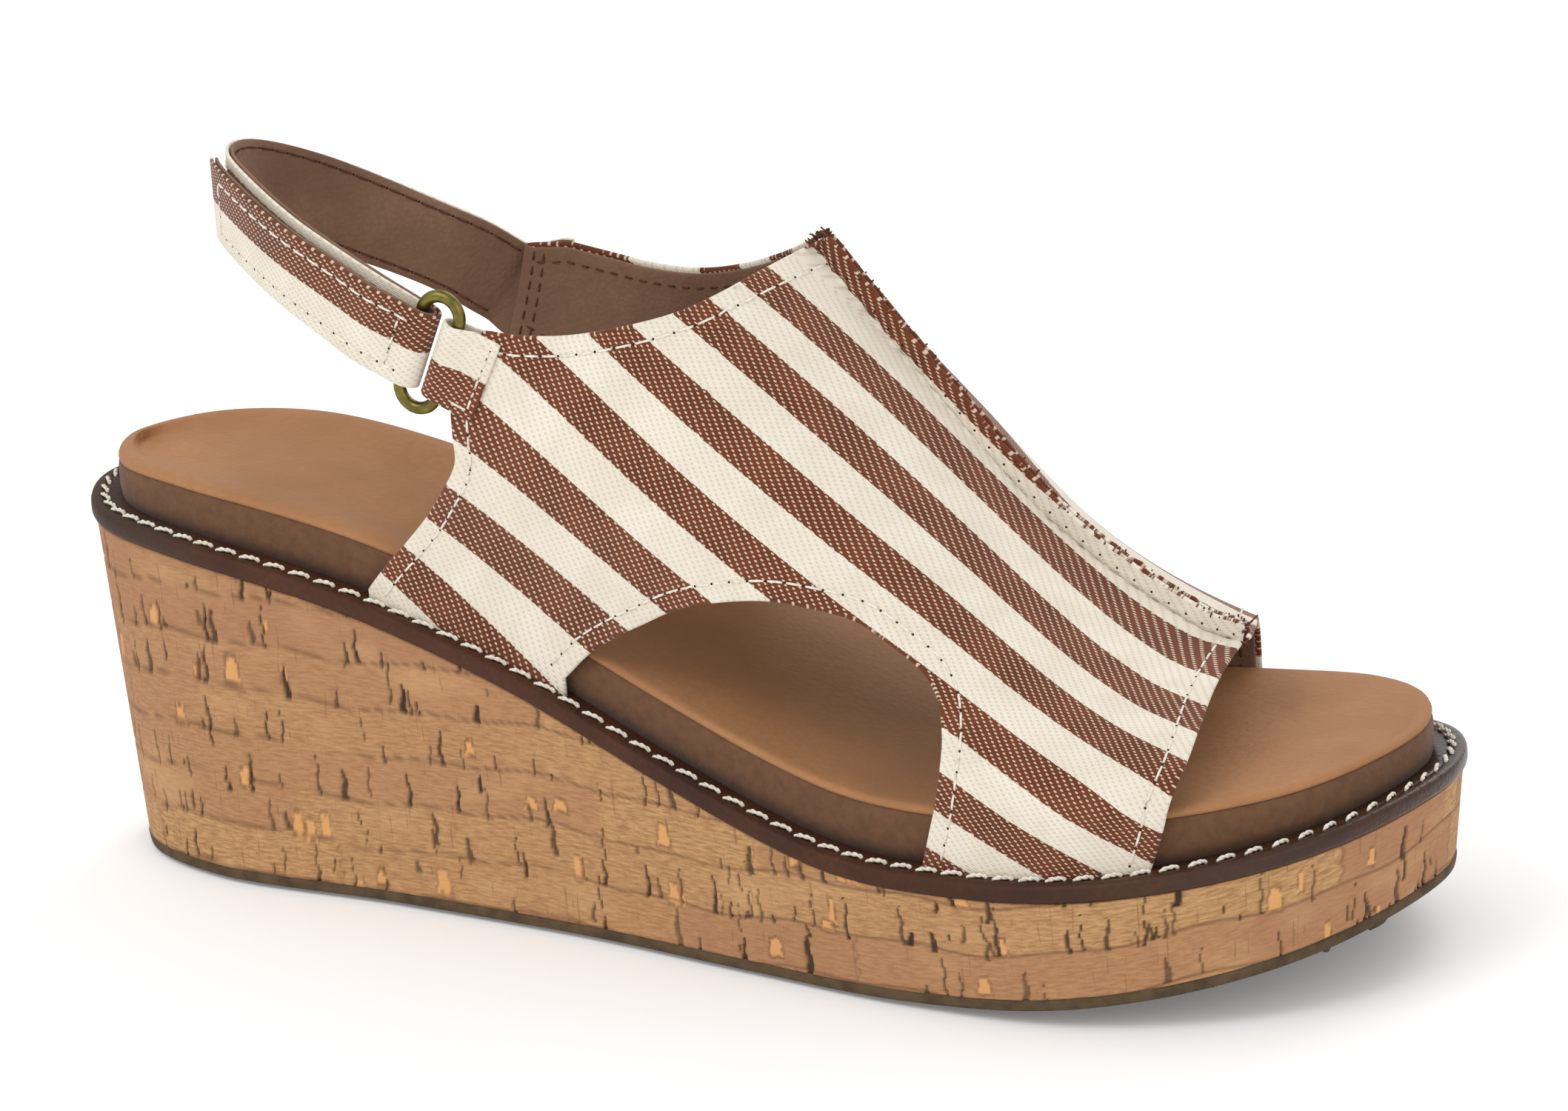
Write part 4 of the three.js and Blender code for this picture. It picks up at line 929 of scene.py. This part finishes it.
def panel_paths(side):
    """The panel's outline on the flat cloth, as named pieces in order."""
    flat = cloth[side]

    def laid(points, step=1.3):
        points = resample(points, step)
        return np.c_[points[:, 0], flat.q_of_z(points[:, 0], points[:, 1])]

    if side == LATERAL:
        corner = ring_point(np.array([8, 4, 0, -4, -8.0]), -(BAR_OFFSET + 4.3), 0)
    else:
        half = STRAP_WIDTH / 2 + .6
        corner = strap_point(strap_length - LAP_LENGTH, np.array([half, 0, -half]), 0)
    corner = corner[:, [0, 2]]
    top, rear, arch = lifted(TOP[side]), lifted(REAR[side]), lifted(CUTOUT)
    top = top[top[:, 0] >= corner[0, 0] + 1]
    rear = rear[rear[:, 1] <= corner[-1, 1] - 1]
    t, v = np.linspace(0, 1, 400), np.linspace(0, 1, 90)
    front_x = curve(FRONT[side])(v)
    seam_x = np.arange(SEAM_FRONT, INSTEP[0], -1.2)
    sunk = lambda x: welt_top(x) - 1.2
    above = lambda path: path[path[:, 1] > sunk(path[:, 0])]
    leg = lambda a, b: np.c_[np.linspace(a, b, 30), sunk(np.linspace(a, b, 30))]
    return {
        "top": laid(np.vstack([spline(top, False, t), corner[:1]])),
        "corner": laid(corner),
        "rear": above(laid(np.vstack([corner[-1:], spline(rear, False, t)]))),
        "rear_leg": leg(-60, -20),
        "arch": above(laid(spline(arch, False, t))),
        "front_leg": leg(54.5, front_x[0]),
        "front": above(resample(np.c_[front_x, flat.q_of_v(front_x, v)], 1.3)),
        "seam": np.c_[seam_x, flat.ridge_q(seam_x)],
    }


def close_loop(parts, least=0.45):
    """The parts as one closed outline, without points that are closer than the least."""
    points = [parts[0][0]]
    for part in parts:
        for p in part:
            if np.hypot(*(p - points[-1])) > least:
                points.append(p)
    while np.hypot(*(points[-1] - points[0])) < least:
        points.pop()
    return np.array(points)


def shrink(polygon, distance):
    """The outline moved inwards, whichever way round it runs."""
    following = np.roll(polygon, -1, 0)
    area = 0.5 * np.sum(polygon[:, 0] * following[:, 1] - following[:, 0] * polygon[:, 1])
    step = unit(following - np.roll(polygon, 1, 0))
    return polygon + np.c_[-step[:, 1], step[:, 0]] * distance * np.sign(area)


def inside(points, polygon):
    """Which points lie inside the polygon."""
    a, b = polygon, np.roll(polygon, -1, 0)
    hit = np.zeros(len(points), bool)
    for (x0, y0), (x1, y1) in zip(a, b):
        if y0 != y1:
            cross = (points[:, 1] > min(y0, y1)) & (points[:, 1] <= max(y0, y1))
            hit ^= cross & (points[:, 0] < x0 + (points[:, 1] - y0) * (x1 - x0) / (y1 - y0))
    return hit


def near_edge(points, polygon):
    """How far each point is from the polygon's nearest corner."""
    away = points[:, None] - polygon[None]
    return np.min(np.hypot(away[..., 0], away[..., 1]), 1)


def panel_sheet(name, side, polygon, off, thickness, slot, material, spacing=1.35):
    """A closed cloth or leather panel from its outline on the flat cloth."""
    least, most = polygon.min(0), polygon.max(0)
    x, q = np.meshgrid(np.arange(least[0], most[0], spacing), np.arange(least[1], most[1], spacing * .87))
    x = x + (np.arange(x.shape[0]) % 2)[:, None] * spacing / 2
    fill = np.c_[x.ravel(), q.ravel()]
    fill = fill[inside(fill, polygon)]
    fill = fill[near_edge(fill, polygon) > spacing * 0.55]
    everything = [Vector(p) for p in np.vstack([polygon, fill])]
    edge = list(range(len(polygon)))
    verts, _, tris, origin, _, _ = delaunay_2d_cdt(everything, [], [edge], 1, 1e-5)
    flat = np.array([[v.x, v.y] for v in verts])
    back_to = {o: n for n, first in enumerate(origin) for o in first}
    boundary = np.array([back_to[k] for k in edge])
    mid, normal = cloth[side].place(flat[:, 0], flat[:, 1], off)
    along = mid[np.roll(boundary, -1)] - mid[np.roll(boundary, 1)]
    outward = unit(np.cross(along, normal[boundary]))
    probe_flat = shrink(polygon, -0.4)
    probe, _ = cloth[side].place(probe_flat[:, 0], probe_flat[:, 1], off)
    outward *= np.sign(np.sum(outward * (probe - mid[boundary]), 1, keepdims=True) + 1e-9)
    points, faces = thicken(mid, normal, [list(t) for t in tris], boundary, outward, thickness)
    coords = spread(cloth_coords(flat[:, 0], flat[:, 1], cloth[side].ridge_q(flat[:, 0])), boundary)
    obj = piece(name, points, faces, BASE, slot, material, {"cloth": coords})
    face_outwards(obj)
    triangle = flat[np.array(tris)]
    return obj


def offset_path(path, distance, toward):
    """The path moved sideways on the flat cloth, towards the side where the point lies."""
    step = unit(np.gradient(path, axis=0))
    across = np.c_[-step[:, 1], step[:, 0]]
    middle = path[len(path) // 2]
    sign = np.sign(np.dot(across[len(path) // 2], np.asarray(toward) - middle))
    return path + across * distance * sign


def raised(path, rise):
    """The path moved up along the cloth."""
    return path + np.array([0, rise])


NAMES = {LATERAL: "vamp_lateral", MEDIAL: "vamp_medial"}
ORDER = ("top", "corner", "rear", "rear_leg", "arch", "front_leg", "front")
SHELL_MID, ROW_INSET, SEAM_ROW = (SHELL_IN + SHELL_OUT) / 2, 3, 2.1
dashes, needle, inner_dashes, fray = [], [], [], []
for side in (LATERAL, MEDIAL):
    paths, flat = panel_paths(side), cloth[side]
    crest = raised(paths["seam"], FLANGE)
    crest[:, 1] += rng.normal(0, 0.10, len(crest))
    whole = close_loop([paths[k] for k in ORDER] + [crest])
    shell = panel_sheet(NAMES[side] + "_fabric", side, whole, SHELL_MID, SHELL_OUT - SHELL_IN,
                        "striped_fabric", FABRIC)
    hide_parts(NAMES[side] + "_shell")
    plan = close_loop([paths[k] for k in ORDER] + [raised(paths["seam"], -0.5)])
    inner = shrink(plan, 0.55)
    if side == MEDIAL:
        over_strap = near_edge(plan, paths["corner"]) < 0.6
        inner[over_strap] = shrink(plan, -0.1)[over_strap]
    lining = panel_sheet(NAMES[side] + "_leather", side, inner, LINING / 2, LINING,
                         "lining_leather", LINING_LEATHER, 1.9)
    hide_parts(NAMES[side] + "_lining")

    def outer_face(at, flat=flat):
        return flat.place(at[:, 0], at[:, 1], SHELL_OUT)

    def inner_side(at, flat=flat):
        p, n = flat.place(at[:, 0], at[:, 1], 0)
        return p, -n

    middle = [0, footbed_top(0) + 38]
    toward = {"top": middle, "rear": [-30, footbed_top(-30) + 15], "arch": [20, footbed_top(20) + 50],
              "front": [70, footbed_top(70) + 10]}
    rows = {key: offset_path(paths[key], ROW_INSET, spot) for key, spot in toward.items()}
    rows["seam"] = raised(paths["seam"], SEAM_ROW)
    for key, row in rows.items():
        row = row[(row[:, 1] > welt_top(row[:, 0]) + 0.8)
                  & ((row[:, 1] <= flat.ridge_q(row[:, 0]) + 0.1) | (key == "seam"))]
        row = row[inside(row, whole) & (near_edge(row, whole) > 1.5)]
        if len(row) < 3:
            continue
        made, pricks = stitch_row(outer_face, row)
        dashes += made if key != "seam" else []
        needle += pricks
        row = row[row[:, 1] < flat.ridge_q(row[:, 0]) - 1]
        if len(row) > 3:
            inner_dashes += stitch_row(inner_side, row, 1.5, 1.5)[0]
    if side == MEDIAL:
        for away in (1.8, 3.8):
            row = offset_path(resample(paths["corner"], 0.8), away, middle)
            inner_dashes += stitch_row(inner_side, row, 1.4, 1.2)[0]
    x = INSTEP[0] + (SEAM_FRONT - INSTEP[0]) * rng.uniform(0, 1, 230) ** 1.5
    q = flat.ridge_q(x) + FLANGE - 0.05
    base, _ = flat.place(x, q - 0.5, SHELL_MID)
    tip, _ = flat.place(x, q, SHELL_MID)
    k = np.linspace(0, 1, 4)[:, None]
    for b, u in zip(base, unit(tip - base)):
        yarn = rng.uniform(0.4, 1.0)
        lean = rng.normal(0, 0.35, 3)
        fray.append(b + (rng.uniform(-.35, .35) * outwards) + u * k * yarn + lean * k ** 2 * yarn * 0.7)

# Yarns frayed out of the seam's two ends.
k = np.linspace(0, 1, 5)[:, None]
for end_x, lean, yarns in ((INSTEP[0], -1, 26), (SEAM_FRONT, 1, 22)):
    for _ in range(yarns):
        side = (LATERAL, MEDIAL)[rng.integers(2)]
        q = cloth[side].ridge_q(np.array([end_x])) + rng.uniform(0, FLANGE)
        base, _ = cloth[side].place(np.array([end_x - lean * 0.3]), q, SHELL_MID)
        yarn = rng.uniform(0.5, 1.5)
        fray.append(base[0] + np.array([lean, 0, .2]) * k * yarn + rng.normal(0, .5, 3) * k ** 2 * yarn)

# The needle holes' dark dots are painted shade.
for name, (points, faces), slot, material in (
        ("seam_fray", tubes(fray, 0.17, 5), "striped_fabric", YARN),
        ("upper_topstitch", tubes(dashes, 0.21), "stitching", THREAD),
        ("upper_needle_hole_shade", dots_mesh(needle, 0.24), "striped_fabric", HOLE_SHADE),
        ("lining_stitches", tubes(inner_dashes, 0.2, 5), "stitching", YARN)):
    piece(name, points, faces, BASE, slot, material)

# ---------------------------------------------------------------- ring, tab and strap

half_bar = (RING_LENGTH - 2 * WIRE - 2 * BAR_OFFSET) / 2
WIRE_SIDES = 16
path = []
for end in (1, -1):
    for a in np.linspace(0, math.pi, 28):
        along, rear = half_bar + BAR_OFFSET * math.sin(a), BAR_OFFSET * math.cos(a)
        path.append(ring_point(end * along, end * rear, 0))
    for share in (0.66, 0.33, 0, -0.33, -0.66):
        path.append(ring_point(end * half_bar * share, -end * BAR_OFFSET, 0))
path = np.array(path)
across = np.cross(unit(np.roll(path, -1, 0) - np.roll(path, 1, 0)), outwards)
angle = np.linspace(0, 2 * np.pi, WIRE_SIDES + 1)[:-1]
wire = (path[:, None] + across[:, None] * (WIRE * 1.02 * np.cos(angle))[None, :, None]
        + outwards * (WIRE * 0.96 * np.sin(angle))[None, :, None])
faces = closed_faces(len(path), WIRE_SIDES)
ring = piece("ring_link", wire.reshape(-1, 3), faces, RING, "antique_brass", BRASS)
face_outwards(ring)
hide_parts("ring")


def strap_cloth(along, across, sign):
    """Strap cloth coordinates: one brown and one cream half across the width."""
    return np.stack([np.clip(1 + sign * across / STRIPE, 0.02, 1.98), sign * across, sign * along], -1)


def strip(name, row, width, thickness, body, slot, material, sign=1, cols=13):
    """A sheet and its grid of middle points; row(w) gives the points along it at w across, from -1 to 1."""
    w = np.linspace(-1, 1, cols)
    grid = np.stack([row(a) for a in w], 1)
    along, across = np.broadcast_arrays(run_along(grid[:, cols // 2])[:, None], (w * width / 2)[None])
    return grid_sheet(name, grid, thickness, body, slot, material, strap_cloth(along, across, sign)), grid


def turned(along, bar, facing, radius):
    """A turn round one of the ring's bars."""
    a = np.linspace(0, math.pi, 22)
    return ring_point(along, bar + facing * (radius + 0.8) * np.sin(a), radius * np.cos(a))


TAB, TAB_FLAT = 8.2, 25.5
tab_back = -np.linspace(BAR_OFFSET + TAB, BAR_OFFSET + 3.2, 14)


def tab_row(w):
    along = w * FOLD_WIDTH / 2
    spot = ring_point(along, tab_back, 0)
    outer = on_upper(LATERAL, spot[:, 0], spot[:, 2], UPPER_THICKNESS + 0.4)
    inner = on_upper(LATERAL, spot[::-1, 0], spot[::-1, 2], -GAP - 0.45)
    return np.vstack([outer, turned(along, -BAR_OFFSET, 1, PLY_INNER + 0.45), inner])


tab, tab_grid = strip("ring_tab_fabric", tab_row, FOLD_WIDTH, 0.7, None, "striped_fabric", FABRIC)
tab_bend = [Vector(metres(ring_point(0, -BAR_OFFSET - away, 0))) for away in (5.5, 1.0)]
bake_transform(tab)
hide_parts("ring_tab")

SLING_END, LINING_WIDTH = 1.5, STRAP_WIDTH - 0.5
lap_from, panel_start = strap_length - LAP_PIECE + GAP, strap_length - LAP_LENGTH - 1


def sling_row(out):
    """The heel strap's rows at one distance out; its end lies on the inner panel."""
    def row(w):
        d = np.r_[np.linspace(0, lap_from - 1, 150), np.linspace(lap_from, strap_length + SLING_END, 24)]
        wide = FOLD_WIDTH + (STRAP_WIDTH - FOLD_WIDTH) * smooth(d, 0, 10)
        free = strap_point(d, w * wide / 2, out)
        free[:, 0] += np.maximum(d - strap_length, 0)
        sewn = on_upper(MEDIAL, free[:, 0], free[:, 2], LAP_OFFSET + out)
        share = smooth(d, lap_from, panel_start)[:, None]
        return free * (1 - share) + sewn * share
    return row


at_lap = metres(strap_point(strap_length - LAP_PIECE, 0, 0.75))
sling, sling_grid = strip("sling_fabric", sling_row(PLY + GAP + 0.32), STRAP_WIDTH, 0.66, None,
                          "striped_fabric", FABRIC)
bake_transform(sling)
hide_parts("sling_shell", "sling_lap")
lining, lining_grid = strip("sling_leather", sling_row(0.3), LINING_WIDTH, 0.6, None,
                            "lining_leather", LINING_LEATHER)
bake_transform(lining)
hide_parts("sling_lining")

TAIL_LENGTH, TAIL_FLAT, BACKING_FLAT, BACKING_WIDTH, SETTLED = 56, 67, 64, FOLD_WIDTH - 0.4, 1.3
tail_out = STRAP_THICKNESS + 2 * PLY_INNER
settle = lambda d: SETTLED * smooth(d, 2, 16)


def tail_row(radius, out):
    """The tail's rows: the turn round the ring's rear bar, then along the outside of the strap."""
    def row(w):
        along = w * FOLD_WIDTH / 2
        leg = ring_point(along, np.linspace(BAR_OFFSET + 1.2, BAR_OFFSET + .2, 3), -radius)
        turn = turned(along, BAR_OFFSET, -1, radius)[::-1]
        d = np.linspace(0.4, TAIL_LENGTH, 54)
        outer = ring_point(along, np.linspace(BAR_OFFSET + .2, BAR_OFFSET + 1.3, 3), radius)
        return np.vstack([leg, turn, outer, strap_point(d, along, out - settle(d))])
    return row


corner = metres(ring_point(0, PLY_START - GAP / 2, PLY_INNER + STRAP_THICKNESS))
tail, tail_grid = strip("tail_fabric", tail_row(PLY_INNER + 1.18, tail_out + PLY + GAP + 0.3), FOLD_WIDTH,
                        0.64, None, "striped_fabric", FABRIC, -1)
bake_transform(tail)
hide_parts("tail_shell", "strap_fold")
backing, _ = strip("tail_leather", tail_row(PLY_INNER + 0.32, tail_out + 0.3), BACKING_WIDTH, 0.6, None,
                   "lining_leather", LINING_LEATHER, -1)
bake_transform(backing)
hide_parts("tail_lining")

PAD_WIDTH = 12
for name, level, thick, follow, body, node in (
        ("loop_pad", STRAP_THICKNESS + 0.05, 0.6, 0.35, STRAP, "loop_patch"),
        ("tail_hooks", STRAP_THICKNESS + 0.72, 0.62, 0.8, TAIL, "hook_patch")):
    def pad_row(w, level=level, thick=thick, follow=follow):
        d = np.linspace(6, TAIL_LENGTH - 4, 50)
        pile = 0.12 * np.sin(d * 2.3) * abs(w)
        return strap_point(d, w * PAD_WIDTH / 2 + pile, level + thick / 2 + (SETTLED - settle(d)) * follow)
    pad, _ = strip(name, pad_row, PAD_WIDTH, thick * 0.9, body, "hook_and_loop", PILE, cols=15)
    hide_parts(node)


def strap_rows(name, grid, row, toward, rows, ends=(), thread=THREAD):
    """Stitches of a strap piece: rows [from, to, share across] and ends [distance, share from, share to].

    They lie on the side of the grid that faces the point; row is where that is looked up.
    """
    count, columns = grid.shape[:2]
    normals = unit(np.cross(np.gradient(grid, axis=0), np.gradient(grid, axis=1)))
    centre = grid[row, columns // 2]
    sign = 1 if np.dot(normals[row, columns // 2], toward - centre) > 0 else -1
    run = run_along(grid[:, columns // 2])
    width = np.linalg.norm(grid[0, -1] - grid[0, 0])

    def surface(at):
        r, c = np.clip(at[:, 0], 0, count - 1.001), np.clip(at[:, 1], 0, columns - 1.001)
        i, j = r.astype(int), c.astype(int)
        a, b = (r - i)[:, None], (c - j)[:, None]

        def between(g):
            return (g[i, j] * (1 - a) * (1 - b) + g[i + 1, j] * a * (1 - b) + g[i, j + 1] * (1 - a) * b
                    + g[i + 1, j + 1] * a * b)

        normal = unit(between(normals)) * sign
        return between(grid) + normal * 0.33, normal

    lines = [(d0, d1, share, share, max(int((d1 - d0) / 3.3), 1)) for d0, d1, share in rows]
    lines += [(d, d, s0, s1, max(int(width * abs(s1 - s0) / 3.1), 1)) for d, s0, s1 in ends]
    made, pricks = [], []
    for d0, d1, s0, s1, stitches in lines:
        for k in range(stitches):
            t = (k + np.r_[np.linspace(0.12, 0.88, 5), 0]) / stitches
            r = np.interp(d0 + (d1 - d0) * t, run, np.arange(count))
            at = np.c_[r, (s0 + (s1 - s0) * t) * (columns - 1)]
            made.append(dash(surface, at[:-1]))
            pricks.append(needle_hole_shade(surface, at[-1]))
    # The holes' dark dots are painted shade.
    for key, (points, faces), material, slot in (("_stitches", tubes(made, 0.2), thread, "stitching"),
                                                 ("_hole_shade", dots_mesh(pricks, 0.24), HOLE_SHADE, "striped_fabric")):
        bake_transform(piece(name + key, points, faces, None, slot, material))


outside = lambda d: strap_point(d, 0, 8.0)
middle, end = strap_length * .5, strap_length - 3
strap_rows("ring_tab", tab_grid, 5, tab_grid[5, 6] + outwards,
           [(1, 5, 0.1), (1, 5, 0.9)], [(1.1, 0.1, 0.9)])
strap_rows("sling", sling_grid, 80, outside(middle),
           [(2, end, 0.14), (2, end, 0.86)], [(end, 0.14, 0.86), (end - 4, 0.14, 0.86)])
strap_rows("sling_lining", lining_grid, 80, 2 * lining_grid[80, 6] - outside(middle),
           [(2, strap_length - 12, 0.08), (2, strap_length - 12, 0.92)], thread=YARN)
strap_rows("tail", tail_grid, 60, outside(30),
           [(11, 65, 0.15), (11, 65, 0.85)], [(65, 0.15, 0.85), (13, 0.15, 0.85)])

# ---------------------------------------------------------------- floor and light

floor_mesh = bpy.data.meshes.new("floor")
floor_mesh.from_pydata([(-3, -3, 0), (3, -3, 0), (3, 3, 0), (-3, 3, 0)], [], [(0, 1, 2, 3)])
floor = bpy.data.objects.new("floor", floor_mesh)
scene.collection.objects.link(floor)
paper = Shader("floor", (0.93, 0.93, 0.93, 1), 0.7)
paper.give(Emission_Color=(1, 1, 1, 1), Emission_Strength=0.12)
floor_mesh.materials.append(paper.material)

world = bpy.data.worlds.new("studio")
scene.world = world
world.use_nodes = True
light = world.node_tree.nodes["Background"].inputs
light["Color"].default_value = (1, 1, 1, 1)
light["Strength"].default_value = 0.85
scene.view_settings.view_transform = "Standard"


def lamp(name, spot, aim, size, power):
    data = bpy.data.lights.new(name, "AREA")
    data.size, data.energy = size, power
    obj = bpy.data.objects.new(name, data)
    scene.collection.objects.link(obj)
    obj.location = spot
    obj.rotation_euler = (Vector(aim) - Vector(spot)).to_track_quat("-Z", "Y").to_euler()


lamp("key", (-0.5, -0.9, 1.2), (0, 0, 0.05), 0.8, 6.5)
lamp("fill", (1.3, -0.8, 0.7), (0, 0, 0.05), 1.0, 3)
lamp("rim", (0.1, 1.2, 1.0), (0, 0, 0.08), 0.9, 5)
